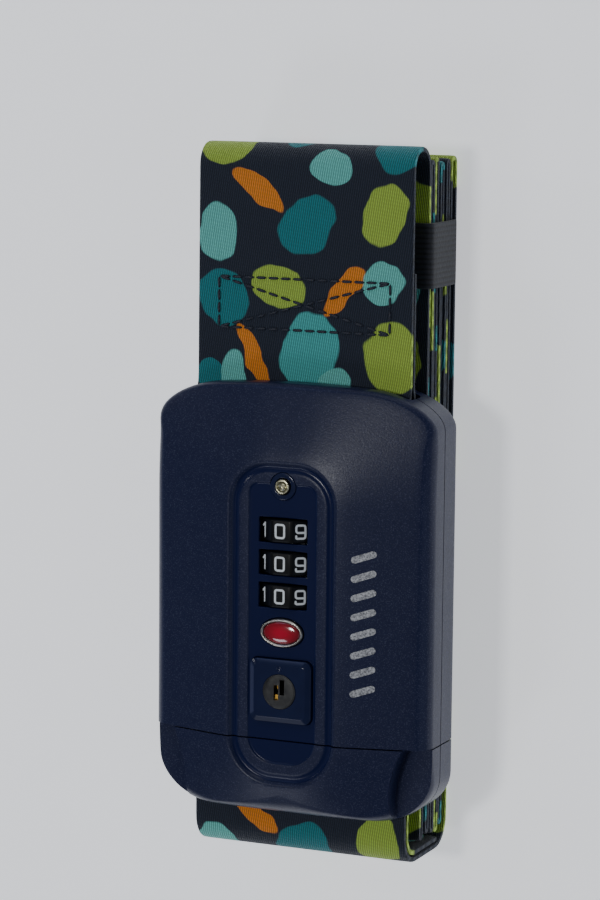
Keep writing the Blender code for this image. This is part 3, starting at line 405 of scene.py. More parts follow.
ribs = add_node(tree, "TexWave", {"Vector": slant.outputs[0], "Scale": BAND_UNIT / RIB},
                bands_direction="X")
picks = add_node(tree, "TexWave", {"Vector": slant.outputs[0], "Scale": BAND_UNIT / PICK, "Distortion": 0.6,
                                   "Detail Scale": 500.0}, bands_direction="Y")
crossings = add_node(tree, "MapRange", {"Value": picks.outputs["Fac"], "To Min": 0.75})
weave = add_node(tree, "Math", {0: ribs.outputs["Fac"], 1: crossings.outputs[0]}, operation="MULTIPLY")
# Painted shade and highlight: the weave's colour is scaled from 0.58 between ribs and picks up to 1.3 on the
# rib crests.
painted_weave_shade = add_node(tree, "MapRange", {"Value": weave.outputs[0], "To Min": 0.58, "To Max": 1.3})
shaded = add_node(tree, "VectorMath", {0: colour.outputs[2], 3: painted_weave_shade.outputs[0]}, operation="SCALE")
fuzz = add_node(tree, "TexNoise", {"Vector": cloth, "Scale": 2500.0, "Detail": 2.0})
relief = add_node(tree, "Math", {0: weave.outputs[0], 1: fuzz.outputs["Fac"]}, operation="ADD")
bump = add_node(tree, "Bump", {"Height": relief.outputs[0], "Strength": 0.85, "Distance": 0.2 * MM})
feed(tree, shader, Base_Color=shaded.outputs[0], Roughness=0.82, Sheen_Weight=0.15, Sheen_Roughness=0.4,
     Normal=bump.outputs[0])

main_line, tongue_line = main_route(), tongue_route()
lead_out = (main_line[:, 0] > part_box("front_cover")[1].y) & (main_line[:, 1] > HOUSING_BAR.z)
print_start = -route_length(main_line[:int(np.argmax(lead_out)) + 1])
webbing = strap_piece("printed_webbing", main_line, print_start, printed_webbing)
webbing_tail = strap_piece("printed_webbing_tongue_end", tongue_line, route_length(main_line),
                           printed_webbing)
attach(webbing, "housing")
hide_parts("webbing")
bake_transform(webbing_tail)
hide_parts("webbing_tongue_end")

# ---------------------------------------------------------------- stitching
# The two plies behind the housing's bar are lock-stitched in a box with a cross, in bonded
# polyester thread pulled slightly into the webbing, on its upper and under sides.

STITCH_PITCH = 2.9 * MM
THREAD_RADIUS = 0.3 * MM
STITCH_LENGTH = 0.86 * STITCH_PITCH
STITCH_BOX = (-20 * MM, 20 * MM, 38 * MM, 49 * MM)


def stitches(lines, height):
    """Capsules along lines in the plane z = height: radius r·sqrt(1 - s^8) about a line that arches by
    r/2."""
    spots = []
    for start, end in lines:
        start, end = np.array(start), np.array(end)
        count = round(np.linalg.norm(end - start) / STITCH_PITCH)
        share = (np.arange(count) + 0.5)[:, None] / count
        heading = (end - start) / np.linalg.norm(end - start)
        spots.append(np.column_stack([start + (end - start) * share, np.tile(heading, (count, 1))]))
    spots = np.vstack(spots)
    s = np.linspace(-1, 1, 7)
    turn = np.linspace(0, 2 * np.pi, 6, endpoint=False)
    radius = THREAD_RADIUS * np.sqrt(np.maximum(1 - s ** 8, 0.02))
    length = STITCH_LENGTH / 2 * s[:, None] + 0 * turn
    side = radius[:, None] * np.cos(turn)
    rise = radius[:, None] * np.sin(turn) + (THREAD_RADIUS / 2 * (1 - s ** 2))[:, None]
    ahead = spots[:, None, None, 2:4] * length[None, :, :, None]
    beside = np.stack([-spots[:, 3], spots[:, 2]], -1)[:, None, None, :] * side[None, :, :, None]
    flat = spots[:, None, None, :2] + ahead + beside
    up = np.broadcast_to(height + math.copysign(1, height - HOUSING_BAR.z) * rise, flat.shape[:3])
    points = np.concatenate([flat, up[..., None]], -1).reshape(-1, 3)
    shape = ring_faces(len(s), len(turn))
    block = len(s) * len(turn)
    return points, [[i + n * block for i in face] for n in range(len(spots)) for face in shape]


low_x, high_x, low_y, high_y = STITCH_BOX
seam_lines = [((low_x, low_y), (high_x, low_y)), ((high_x, low_y), (high_x, high_y)),
              ((high_x, high_y), (low_x, high_y)),
              ((low_x, high_y), (low_x, low_y)), ((low_x, low_y), (high_x, high_y)),
              ((low_x, high_y), (high_x, low_y))]
upper, faces = stitches(seam_lines, LEAD_Z + WEB_THICK / 2)
under, _ = stitches(seam_lines, LEAD_Z - 2 * PLY_OFFSET - WEB_THICK / 2)

# Bonded thread: dark navy, slightly waxy, with its twist every 0.5 mm.
thread, tree, shader = new_material("bonded_polyester_thread")
place = add_node(tree, "TexCoord").outputs["Object"]
slant = add_node(tree, "Mapping", {"Vector": place, "Rotation": (0, 0, math.radians(35))})
twist = add_node(tree, "TexWave", {"Vector": slant.outputs[0], "Scale": BAND_UNIT / (0.5 * MM)})
bump = add_node(tree, "Bump", {"Height": twist.outputs["Fac"], "Strength": 0.5, "Distance": 0.08 * MM})
tone = add_node(tree, "Mix", {0: twist.outputs["Fac"], 6: linear("#10151f"), 7: linear("#252c3d")},
                data_type="RGBA")
feed(tree, shader, Base_Color=tone.outputs[2], Roughness=0.5, Normal=bump.outputs[0])
count = len(upper)
seam = new_object("lead_stitching", np.vstack([upper, under]),
                  faces + [[i + count for i in f] for f in faces], thread, smooth=60)
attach(seam, "housing")

# ---------------------------------------------------------------- elastic band
# A woven elastic loop holds the fold together. It is stretched round ten of the layers, with its
# ends sewn together under them, and the bottom layer passes outside it.

band_low, band_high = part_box("elastic_band")
BAND_WIDTH = band_high.y - band_low.y
ELASTIC_THICK = 0.85 * MM
ELASTIC_CORNER = 1.5 * MM


def rounded_outline(cx, cy, half_x, half_y, radius, steps=8):
    """Rounded rectangle, anticlockwise: four quarter circles, each with its centre moved to its corner."""
    turn = np.linspace(0, np.pi / 2, steps + 1)
    corners = []
    for k, (sx, sy) in enumerate(((1, 1), (-1, 1), (-1, -1), (1, -1))):
        corners.append(np.column_stack([cx + sx * (half_x - radius) + radius * np.cos(turn + k * np.pi / 2),
                                        cy + sy * (half_y - radius) + radius * np.sin(turn + k * np.pi / 2)]))
    return np.vstack(corners)


middle = (band_low + band_high) / 2
loop = rounded_outline(middle.x, middle.z, (band_high.x - band_low.x - ELASTIC_THICK) / 2,
                       (band_high.z - band_low.z - ELASTIC_THICK) / 2 - 0.05 * MM, ELASTIC_CORNER)
line, along = respaced(np.vstack([loop, loop[:1]]), 9.0, 2 * MM)
line, along = line[:-1], along[:-1]
heading = np.roll(line, -1, 0) - np.roll(line, 1, 0)
heading /= np.linalg.norm(heading, axis=1)[:, None]
section = flat_section(BAND_WIDTH, ELASTIC_THICK)
out = line[:, None, :] + np.column_stack([heading[:, 1],
                                          -heading[:, 0]])[:, None, :] * section[None, :, 1, None]
y = np.broadcast_to(middle.y + section[None, :, 0], out.shape[:2])
points = np.stack([out[..., 0], y, out[..., 1]], -1).reshape(-1, 3)

# Woven elastic: dull black polyester over rubber, with lengthwise ribs 1.1 mm apart.
elastic, tree, shader = new_material("woven_elastic")
place = add_node(tree, "TexCoord").outputs["Object"]
ribs = add_node(tree, "TexWave", {"Vector": place, "Scale": BAND_UNIT / (1.1 * MM)}, bands_direction="Y")
crinkle = add_node(tree, "TexNoise", {"Vector": place, "Scale": 1500.0, "Detail": 3.0})
height = add_node(tree, "Math", {0: crinkle.outputs["Fac"], 1: 0.5, 2: ribs.outputs["Fac"]},
                  operation="MULTIPLY_ADD")
bump = add_node(tree, "Bump", {"Height": height.outputs[0], "Strength": 0.7, "Distance": 0.25 * MM})
tone = add_node(tree, "Mix", {0: ribs.outputs["Fac"], 6: linear("#0c0e14"), 7: linear("#20242e")},
                data_type="RGBA")
feed(tree, shader, Base_Color=tone.outputs[2], Roughness=0.85, Sheen_Weight=0.2, Normal=bump.outputs[0])
band = new_object("woven_elastic_band", points, ring_faces(len(line), len(section), closed=True), elastic,
                  smooth=50)
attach(band, "housing")
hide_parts("elastic_band")

# ---------------------------------------------------------------- covers
# Housing and tongue are each two moulded ABS shells. Their shared face rises from a round edge to
# a crest, then a groove, a raised ring and a sunk plate frame the lock. Screws from the back hold
# each pair, and a hairline joint parts the housing from the tongue.

front_low, front_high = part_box("front_cover")
HALF = front_high.x
TOP_Y = front_high.y
CREST_Z = front_high.z
SPLIT_Y = front_low.y - GAP / 2
PARTING_Z = front_low.z - GAP / 2
END_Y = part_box("tongue_front_cover")[0].y
BACK_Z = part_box("back_cover")[0].z
WALL = 1.8 * MM
FLOOR_Z = BACK_Z + WALL
PLATE_DROP = 0.8 * MM
PLATE_Z = CREST_Z - PLATE_DROP
PLATE_THICK = 1.0 * MM
ROOF_Z = PLATE_Z - PLATE_THICK
RING_DROP = 0.5 * MM
GROOVE_HALF = 12.35 * MM
GROOVE_WIDTH = 2.2 * MM
GROOVE_DEPTH = 0.85 * MM
GROOVE_SIDE = 0.8 * MM
RING_SIDE = 0.3 * MM
RING_WIDTH = 2.4 * MM
PLATE_CORNER = 2.4 * MM
COLUMN_RADIUS_TOP = 9 * MM
COLUMN_RADIUS_LOW = 10 * MM
COLUMN_HIGH = TOP_Y - 16.8 * MM
COLUMN_LOW = COLUMN_HIGH - 70.1 * MM
LIP = 0.55 * MM                   # where the crest starts to round into the groove
FACE_SLOPE = 0.25
SLOPE_EASE = 1.5 * MM             # over which the face's slope builds up
TOP_CORNER = (15, 8)              # across and along, in mm
LOW_CORNER = (13, 10)
CROWN_RADIUS = 240 * MM
TONGUE_ROOF_Z = BACK_Z + 10.9 * MM
SCOOP_RADIUS = 25 * MM
SCOOP_HALF = 24 * MM
SCOOP_FLOOR = BACK_Z + 11.6 * MM


def outline(half, low, high, top_corner, low_corner, crown=None, corner_steps=14, side_steps=34,
            end_steps=20):
    """Plan outline, anticlockwise: elliptical corners with straight runs between, the far end lowered by
    x²/2R."""
    turn = np.linspace(0, np.pi / 2, corner_steps + 1)
    parts = []
    for k, (sx, sy) in enumerate(((1, 1), (-1, 1), (-1, -1), (1, -1))):
        rx, ry = top_corner if sy > 0 else low_corner
        cy = high - ry if sy > 0 else low + ry
        angle = turn + k * np.pi / 2
        parts.append(np.column_stack([sx * (half - rx) + rx * np.cos(angle), cy + ry * np.sin(angle)]))
    spots = []
    for k, part in enumerate(parts):
        following = parts[(k + 1) % 4][0]
        share = np.linspace(0, 1, end_steps if k % 2 == 0 else side_steps, endpoint=False)[1:, None]
        spots += [part, part[-1] + (following - part[-1]) * share]
    points = np.vstack(spots)
    if crown:
        share = np.clip((points[:, 1] - (high - 20 * MM)) / (20 * MM), 0, 1)
        points[:, 1] -= share * points[:, 0] ** 2 / (2 * crown)
    return points


def body_outline(inset, **steps):
    top, low = [(across * MM - inset, along * MM - inset) for across, along in (TOP_CORNER, LOW_CORNER)]
    return outline(HALF - inset, END_Y + inset, TOP_Y - inset, top, low, CROWN_RADIUS, **steps)


def column_outline(inset, **steps):
    top = COLUMN_RADIUS_TOP - 0.9 * inset if inset <= GROOVE_WIDTH + 0.4 * MM else PLATE_CORNER
    low = COLUMN_RADIUS_LOW - 0.9 * inset
    return outline(GROOVE_HALF - inset, COLUMN_LOW + inset, COLUMN_HIGH - inset, (top, top), (low, low),
                   **steps)


def at_height(points, height):
    return np.column_stack([points, np.broadcast_to(height, len(points))])


def column_depth(points):
    """Distance inside the groove's outer outline: r - |max(q, 0)| - min(max q, 0), with q measured from the
    straight part's corner, which is a rounded rectangle's signed distance with its sign turned."""
    centre = (COLUMN_HIGH + COLUMN_LOW) / 2
    radius = np.where(points[:, 1] > centre, COLUMN_RADIUS_TOP, COLUMN_RADIUS_LOW)
    half = np.array([GROOVE_HALF, (COLUMN_HIGH - COLUMN_LOW) / 2])
    q = np.abs(points[:, :2] - (0, centre)) - (half - radius[:, None])
    return radius - np.linalg.norm(np.maximum(q, 0), axis=1) - np.minimum(q.max(axis=1), 0)


def face_rings(inset, crest, fillet_side, fillet_end, fillet_top, edge_steps, slope_steps, stop=0.0,
               **steps):
    """Rings from the side over the round edge to the crest. The drop is m·d²/(d + e) + f·(1 - sqrt(1 -
    s²)), with m the
    face's slope, d the distance from the groove and s the share of the edge's fillet f, which is larger at
    the
    tongue's end and small at the top."""
    outer, inner = body_outline(inset, **steps), column_outline(0, **steps)
    reach = np.linalg.norm(outer - inner, axis=1)
    fillet = fillet_side + (fillet_end - fillet_side) * np.clip((END_Y + 16 * MM - outer[:, 1]) / (12 * MM),
                                                                0, 1)
    fillet += (fillet_top - fillet_side) * np.clip((outer[:, 1] - (TOP_Y - 12 * MM)) / (6 * MM), 0, 1)
    edge = np.sin(np.linspace(np.pi / 2, 0, edge_steps))
    distances = [reach - fillet + fillet * s for s in edge]
    distances += [stop + (reach - fillet - stop) * s for s in np.linspace(1, 0, slope_steps + 1)[1:]]
    rings = []
    for distance in distances:
        into = np.clip((distance - (reach - fillet)) / fillet, 0, 1)
        spots = inner + (outer - inner) * (distance / reach)[:, None]
        away = np.maximum(-column_depth(spots), 0)
        drop = FACE_SLOPE * away ** 2 / (away + SLOPE_EASE) + fillet * (1 - np.sqrt(1 - into ** 2))
        rings.append(at_height(spots, crest - drop))
    return rings


def rounded_profile(corners, cuts, steps=6):
    """A line through corners, each inner one replaced by a parabola between the points a cut before and
    after it."""
    corners = np.array(corners, float)
    t = np.linspace(0, 1, steps)[:, None]
    line = [corners[:1]]
    for before, corner, after, cut in zip(corners, corners[1:], corners[2:], cuts):
        start = corner + (before - corner) / np.linalg.norm(before - corner) * cut
        end = corner + (after - corner) / np.linalg.norm(after - corner) * cut
        line.append((1 - t) ** 2 * start + 2 * t * (1 - t) * corner + t ** 2 * end)
    return np.vstack(line + [corners[-1:]])


def skin(name, rings, material=None, smooth=None):
    """Closed solid through rings of equal counts, in triangles, with a flat cap at each end."""
    rings = np.array(rings)
    rows, count = rings.shape[:2]
    i, j = np.meshgrid(np.arange(rows - 1), np.arange(count), indexing="ij")
    a, b = i * count + j, i * count + (j + 1) % count
    halves = [np.stack([a, b, b + count], -1), np.stack([a, b + count, a + count], -1)]
    triangles = np.concatenate(halves).reshape(-1, 3)
    caps = [list(range(count))[::-1], list(range((rows - 1) * count, rows * count))]
    return new_object(name, rings.reshape(-1, 3), triangles.tolist() + caps, material, smooth)


def block(name, low, high):
    """Box from its lowest and highest corners."""
    (x0, y0, z0), (x1, y1, z1) = low, high
    plan = np.array([(x1, y1), (x0, y1), (x0, y0), (x1, y0)])
    return skin(name, [at_height(plan, z0), at_height(plan, z1)])


def turned_rings(profile, centre, count=48):
    """Rings about a vertical line through centre, one for each (radius, height) of the profile."""
    turn = np.linspace(0, 2 * np.pi, count, endpoint=False)
    profile = np.array(profile, float)
    flat = profile[:, 0, None, None] * np.stack([np.cos(turn), np.sin(turn)],
                                                -1)[None] + np.array(centre[:2])
    return np.concatenate([flat, np.broadcast_to(profile[:, 1, None, None], flat.shape[:2] + (1,))], -1)


def shaped(obj, cuts, smooth, operations=None):
    """Applies a Boolean with each helper in turn, then smooths the result by angle."""
    for i, helper in enumerate(cuts):
        step = obj.modifiers.new(helper.name, "BOOLEAN")
        step.operation = (operations or {}).get(i, "DIFFERENCE")
        step.solver = "EXACT"
        step.object = helper
    bpy.context.view_layer.update()
    graph = bpy.context.evaluated_depsgraph_get()
    mesh = bpy.data.meshes.new_from_object(obj.evaluated_get(graph))
    obj.modifiers.clear()
    obj.data = mesh
    if smooth is not None:
        mesh.shade_smooth()
        mesh.set_sharp_from_angle(angle=math.radians(smooth))
    return obj


def remove(objects):
    for helper in objects:
        bpy.data.objects.remove(helper)


def flared(name, plan, low, top, lip):
    """Cutter for a hole with a rounded rim: plan(grow) is its outline, and the rim is a quarter circle of
    radius lip."""
    turn = np.radians(np.linspace(0, 78, 5))
    rings = [at_height(plan(0), low)]
    rings += [at_height(plan(lip * (1 - math.cos(t))), top - lip * (1 - math.sin(t))) for t in turn]
    return skin(name, rings + [at_height(plan(lip * (1 - math.cos(turn[-1]))), top + 2 * MM)])


bottom = rounded_profile([(1.2 * MM, 0), (0.3 * MM, 0), (0, 0.4 * MM), (0, 2 * MM)],
                         [0.22 * MM, 0.22 * MM], 4)
shell_rings = [at_height(body_outline(inset), BACK_Z + height) for inset, height in bottom]
shell_rings += face_rings(0, CREST_Z, 3 * MM, 5 * MM, 1.3 * MM, 12, 12, stop=1.7 * LIP)
lip_drop = FACE_SLOPE * LIP ** 2 / (LIP + SLOPE_EASE)
column_profile = rounded_profile(
    [(-LIP, -lip_drop), (0, 0), (GROOVE_SIDE, -GROOVE_DEPTH), (GROOVE_WIDTH - GROOVE_SIDE, -GROOVE_DEPTH),
     (GROOVE_WIDTH, -RING_DROP), (GROOVE_WIDTH + RING_WIDTH - RING_SIDE, -RING_DROP),
     (GROOVE_WIDTH + RING_WIDTH, PLATE_Z - CREST_Z),
     (GROOVE_WIDTH + RING_WIDTH + 0.6 * MM, PLATE_Z - CREST_Z)],
    [0.5 * MM, 0.29 * MM, 0.29 * MM, 0.35 * MM, 0.15 * MM, 0.18 * MM])
shell_rings += [at_height(column_outline(inset), CREST_Z + height) for inset, height in column_profile]

COARSE = {"corner_steps": 6, "side_steps": 6, "end_steps": 5}
space_rings = [at_height(body_outline(WALL, **COARSE), z) for z in (FLOOR_Z, PARTING_Z)]
space_rings += face_rings(WALL, ROOF_Z, 2 * MM, 3 * MM, 1.5 * MM, 5, 3, **COARSE)


def space_inside(name, low_y, high_y, high_z, bosses):
    """The hollow inside a pair of covers, less a round boss for each screw."""
    keep = block(name + "_range", (-HALF, low_y, BACK_Z), (HALF, high_y, high_z))
    pillars = [skin(f"{name}_boss_{i}", turned_rings([(2.7 * MM, BACK_Z), (2.7 * MM, CREST_Z)], spot, 20))
               for i, spot in enumerate(bosses)]
    made = shaped(skin(name, space_rings), [keep] + pillars, None, {0: "INTERSECT"})
    remove([keep] + pillars)
    return made


def screw_spots(names):
    boxes = [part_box(name) for name in names]
    return [((low.x + high.x) / 2, (low.y + high.y) / 2) for low, high in boxes]


def screw_holes(spots):
    """A counterbore for each screw's head and a hole for its shank, with a small chamfer at the back."""
    profile = [(2.5 * MM, BACK_Z - MM), (2.5 * MM, BACK_Z), (2.2 * MM, BACK_Z + 0.3 * MM),
               (2.2 * MM, BACK_Z + 1.6 * MM),
               (1.3 * MM, BACK_Z + 1.6 * MM), (1.3 * MM, BACK_Z + 11.2 * MM)]
    return [skin(f"screw_hole_{i}", turned_rings(profile, spot, 28)) for i, spot in enumerate(spots)]


def strap_mouth(low_y, high_y, flare_at):
    """Slot that the strap enters by, wider by a rounded millimetre at the outside."""
    half_x, half_z = WEB_WIDTH / 2 + 0.8 * MM, BAR_LOOP + CAD_WEB_THICK / 2 + GAP
    share = np.linspace(0, 1, 7)
    ys = low_y + (high_y - low_y) * share
    grow = 0.6 * MM * np.clip(1 - np.abs(ys - flare_at) / (1.5 * MM), 0, 1) ** 2
    rings = []
    for y, more in zip(ys, grow):
        plan = rounded_outline(0, HOUSING_BAR.z, half_x + more, half_z + more, 1.5 * MM)
        rings.append(np.column_stack([plan[:, 0], np.full(len(plan), y), plan[:, 1]]))
    return skin("strap_mouth", rings)

# Moulded ABS: navy with fine metallic flake under a spark-eroded texture, which is 0.3 mm grains
# in life and here too. The groove and the lock's plate are polished in the mould, so they are
# darker and show reflections.
moulded_abs, tree, shader = new_material("moulded_flake_abs")
place = add_node(tree, "TexCoord").outputs["Object"]
polish = add_node(tree, "Attribute", attribute_name="polish").outputs["Fac"]
grain = add_node(tree, "TexNoise", {"Vector": place, "Scale": 2600.0, "Detail": 2.0, "Roughness": 0.6})
flake = add_node(tree, "TexNoise", {"Vector": place, "Scale": 4200.0, "Detail": 0.0})
sparks = add_node(tree, "MapRange",
                  {"Value": flake.outputs["Fac"], "From Min": 0.58, "From Max": 0.74, "To Max": 0.3})
mottle = add_node(tree, "TexNoise", {"Vector": place, "Scale": 420.0, "Detail": 3.0})
ground = add_node(tree, "Mix", {0: mottle.outputs["Fac"], 6: linear("#1a203d"), 7: linear("#212743")},
                  data_type="RGBA")
flaked = add_node(tree, "Mix", {0: sparks.outputs[0], 6: ground.outputs[2], 7: linear("#5b6078")},
                  data_type="RGBA")
tone = add_node(tree, "Mix", {0: polish, 6: flaked.outputs[2], 7: linear("#121b40")}, data_type="RGBA")
dull = add_node(tree, "MapRange",
                {"Value": grain.outputs["Fac"], "From Min": 0.3, "From Max": 0.7, "To Min": 0.28,
                                   "To Max": 0.38})
gloss = add_node(tree, "Mix", {0: polish, 2: dull.outputs[0], 3: 0.22}, data_type="FLOAT")
depth = add_node(tree, "MapRange", {"Value": polish, "To Min": 0.5, "To Max": 0.04})
bump = add_node(tree, "Bump",
                {"Height": grain.outputs["Fac"], "Strength": depth.outputs[0], "Distance": 0.05 * MM})
feed(tree, shader, Base_Color=tone.outputs[2], Roughness=gloss.outputs[0], IOR=1.52, Specular_IOR_Level=0.2,
     Normal=bump.outputs[0])

upper, lower = PARTING_Z + GAP / 2, PARTING_Z - GAP / 2
FAR = 100 * MM
housing_screws = screw_spots([f"cover_screw_{i}" for i in (1, 2, 3, 4)])
tongue_screws = screw_spots([f"tongue_screw_{i}" for i in (1, 2)])
housing_space = space_inside("housing_space", SPLIT_Y + WALL, TOP_Y, CREST_Z, housing_screws)
tongue_space = space_inside("tongue_space", END_Y, SPLIT_Y - WALL, TONGUE_ROOF_Z, tongue_screws)
housing_mouth = strap_mouth(TOP_Y - 6 * MM, TOP_Y + MM, TOP_Y)
tongue_mouth = strap_mouth(END_Y - MM, END_Y + 4 * MM, END_Y)
housing_holes, tongue_holes = screw_holes(housing_screws), screw_holes(tongue_screws)

dial_boxes = [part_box(f"dial_{i}") for i in (1, 2, 3)]
DIAL_YS = [(low.y + high.y) / 2 for low, high in dial_boxes]
DIAL_Z = (dial_boxes[0][0].z + dial_boxes[0][1].z) / 2
DIAL_WIDTH = dial_boxes[0][1].y - dial_boxes[0][0].y
WINDOW_ACROSS = 11.34 * MM
boss_low, boss_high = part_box("reset_boss")
RESET_Y = (boss_low.y + boss_high.y) / 2
badge_low, badge_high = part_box("badge_rim")
BADGE_Y = (badge_low.y + badge_high.y) / 2
button_low, button_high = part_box("release_button")
BUTTON_Y = (button_low.y + button_high.y) / 2
BUTTON_ACROSS = 14.3 * MM
BUTTON_ALONG = 13.8 * MM
below_roof = ROOF_Z - 2 * MM


def oval(cx, cy, rx, ry, count=56):
    turn = np.linspace(0, 2 * np.pi, count, endpoint=False)
    return np.column_stack([cx + rx * np.cos(turn), cy + ry * np.sin(turn)])


face_cuts = [flared(f"dial_window_{i}", lambda grow, y=y: rounded_outline(
    0, y, WINDOW_ACROSS / 2 + grow, DIAL_WIDTH / 2 + GAP + grow, 0.3 * MM + grow), below_roof, PLATE_Z,
                    0.2 * MM)
    for i, y in enumerate(DIAL_YS)]
face_cuts.append(flared("reset_boss_hole", lambda grow: oval(
    0, RESET_Y, boss_high.x + 0.04 * MM + grow, boss_high.x + 0.04 * MM + grow), below_roof, PLATE_Z,
                        0.06 * MM))
face_cuts.append(flared("badge_hole", lambda grow: oval(
    0, BADGE_Y, badge_high.x + GAP / 2 + grow, badge_high.y - BADGE_Y + GAP / 2 + grow), below_roof,
                        PLATE_Z, 0.15 * MM))
face_cuts.append(flared("button_hole", lambda grow: rounded_outline(
    0, BUTTON_Y, BUTTON_ACROSS / 2 + GAP / 2 + grow, BUTTON_ALONG / 2 + GAP / 2 + grow, 1.75 * MM + grow),
                        below_roof,
    PLATE_Z, 0.12 * MM))
plate_low, plate_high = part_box("tongue_plate")
plate_slot = block("plate_slot", (-9.6 * MM, SPLIT_Y - WALL - MM, plate_low.z - 0.5 * MM),
                   (9.6 * MM, SPLIT_Y + WALL + MM, plate_high.z + 0.5 * MM))
scoops = [skin(f"finger_scoop_{side}", turned_rings(
    [(SCOOP_RADIUS - 1.2 * MM, SCOOP_FLOOR), (SCOOP_RADIUS - 0.35 * MM, SCOOP_FLOOR + 0.35 * MM),
     (SCOOP_RADIUS, SCOOP_FLOOR + 1.2 * MM), (SCOOP_RADIUS, CREST_Z + MM)],
    (side * (SCOOP_HALF + SCOOP_RADIUS), END_Y + 5 * MM), 180)) for side in (-1, 1)]

covers = {}
for name, node, body, low, high, cuts in (
    ("moulded_front_cover", "front_cover", "housing", (-FAR, SPLIT_Y + GAP / 2, upper), (FAR, FAR, FAR),
     [housing_space, housing_mouth] + face_cuts + housing_holes),
    ("moulded_back_cover", "back_cover", "housing", (-FAR, SPLIT_Y + GAP / 2, -FAR), (FAR, FAR, lower),
     [housing_space, housing_mouth, plate_slot] + housing_holes),
    ("moulded_tongue_front", "tongue_front_cover", "tongue", (-FAR, -FAR, upper),
     (FAR, SPLIT_Y - GAP / 2, FAR),
     [tongue_space, tongue_mouth] + scoops + tongue_holes),
    ("moulded_tongue_back", "tongue_back_cover", "tongue", (-FAR, -FAR, -FAR),
     (FAR, SPLIT_Y - GAP / 2, lower),
     [tongue_space, tongue_mouth, plate_slot] + tongue_holes),
):
    keep = block(name + "_range", low, high)
    cover = shaped(skin(name, shell_rings, moulded_abs), [keep] + cuts, 32, {0: "INTERSECT"})
    remove([keep])
    points = np.empty(len(cover.data.vertices) * 3, np.float32)
    cover.data.vertices.foreach_get("co", points)
    points = points.reshape(-1, 3)
    inward = np.clip(column_depth(points) / (0.3 * MM), 0, 1)
    sunk = np.clip((CREST_Z - RING_DROP - 0.03 * MM - points[:, 2]) / (0.12 * MM), 0, 1)
    cover.data.attributes.new("polish", "FLOAT",
                              "POINT").data.foreach_set("value", (inward * sunk).astype(np.float32))
    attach(cover, body)
    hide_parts(node)
    covers[node] = cover
remove([housing_space, tongue_space, housing_mouth, tongue_mouth, plate_slot]
       + housing_holes + tongue_holes + face_cuts + scoops)

# ---------------------------------------------------------------- dials
# Three ten-sided number wheels, moulded in black acetal with rounded edges, each with its figures
# 0 to 9 filled in with pale grey paint. The figures are a plain rounded stroke of one width.

DIAL_PROUD = 1.0 * MM             # flats stand above the plate
DIAL_FLAT = PLATE_Z + DIAL_PROUD - DIAL_Z
FACETS = 10
BORE = 3.2 * MM
FIGURE_HALF = np.array([1.0, 1.42]) * MM      # half width and half height of the stroke's middle line
FIGURE_OFFSET = -0.28 * MM        # figures sit a little off the facets' middle
STROKE = 0.46 * MM
STROKE_STEP = 0.005 * MM          # a figure's later strokes lie this much higher, so none share a plane
PAINT = 0.03 * MM
# Each figure's strokes in halves of its width and height, and 1 where a stroke's corners are round.
FIGURES = (
    [([(0, 1), (-1, 1), (-1, -1), (1, -1), (1, 1), (0, 1)], 1)],
    [([(-0.5, 0.6), (0.2, 1)], 0), ([(0.2, 1), (0.2, -1)], 0)],
    [([(-1, 0.55), (-1, 1), (1, 1), (1, 0.1), (-1, -0.75)], 1), ([(-1, -0.75), (-1, -1), (1, -1)], 0)],
    [([(-1, 0.6), (-1, 1), (1, 1), (1, 0.05), (-0.3, 0.05)], 1),
     ([(-0.3, 0.05), (1, 0.05), (1, -1), (-1, -1), (-1, -0.6)], 1)],
    [([(0.2, 1), (-1, -0.45)], 0), ([(-1, -0.45), (1, -0.45)], 0), ([(0.5, 0.2), (0.5, -1)], 0)],
    [([(1, 1), (-1, 1), (-1, 0.15), (1, 0.15), (1, -1), (-1, -1), (-1, -0.65)], 1)],
    [([(1, 0.65), (1, 1), (-1, 1), (-1, -1), (1, -1), (1, 0.12), (-0.2, 0.12)], 1),
     ([(-0.2, 0.12), (-1, 0.12)], 0)],
    [([(-1, 1), (1, 1)], 0), ([(1, 1), (-0.3, -1)], 0)],
    [([(0, 1), (-1, 1), (-1, 0.08), (1, 0.08), (1, 1), (0, 1)], 1),
     ([(-1, 0.08), (-1, -1), (1, -1), (1, 0.08)], 1)],
    [([(-1, -0.62), (-1, -1), (1, -1), (1, 1), (-1, 1), (-1, -0.12), (0.2, -0.12)], 1),
     ([(0.2, -0.12), (1, -0.12)], 0)],
)


def stroke(line, width, cap_steps=6):
    """Flat strip of even width along a line: its edges are p ± n·w/2, with half-circle ends unless the
    line closes."""
    closed = np.allclose(line[0], line[-1])
    line = line[:-1] if closed else line
    heading = np.roll(line, -1, 0) - np.roll(line, 1, 0) if closed else np.gradient(line, axis=0)
    heading /= np.linalg.norm(heading, axis=1)[:, None]
    normal = np.column_stack([-heading[:, 1], heading[:, 0]])
    left, right = line + normal * width / 2, line - normal * width / 2
    n = len(line)
    i = np.arange(n if closed else n - 1)
    j = (i + 1) % n
    quads = np.stack([i, i + n, j + n, j], -1).tolist()
    if closed:
        return np.vstack([left, right]), quads
    turn = np.linspace(0, np.pi, cap_steps)[1:-1, None]
    last = line[-1] + width / 2 * (np.cos(turn) * -normal[-1] + np.sin(turn) * heading[-1])
    first = line[0] + width / 2 * (np.cos(turn) * normal[0] - np.sin(turn) * heading[0])
    caps = [[2 * n - 1] + list(range(2 * n, 2 * n + len(last))) + [n - 1],
            [0] + list(range(2 * n + len(last), 2 * n + len(last) + len(first))) + [n]]
    return np.vstack([left, right, last, first]), quads + caps


def joined(parts):
    """Points and faces of several meshes as one."""
    points, faces, count = [], [], 0
    for spots, sides in parts:
        points.append(spots)
        faces += [[i + count for i in face] for face in sides]
        count += len(spots)
    return np.vstack(points), faces


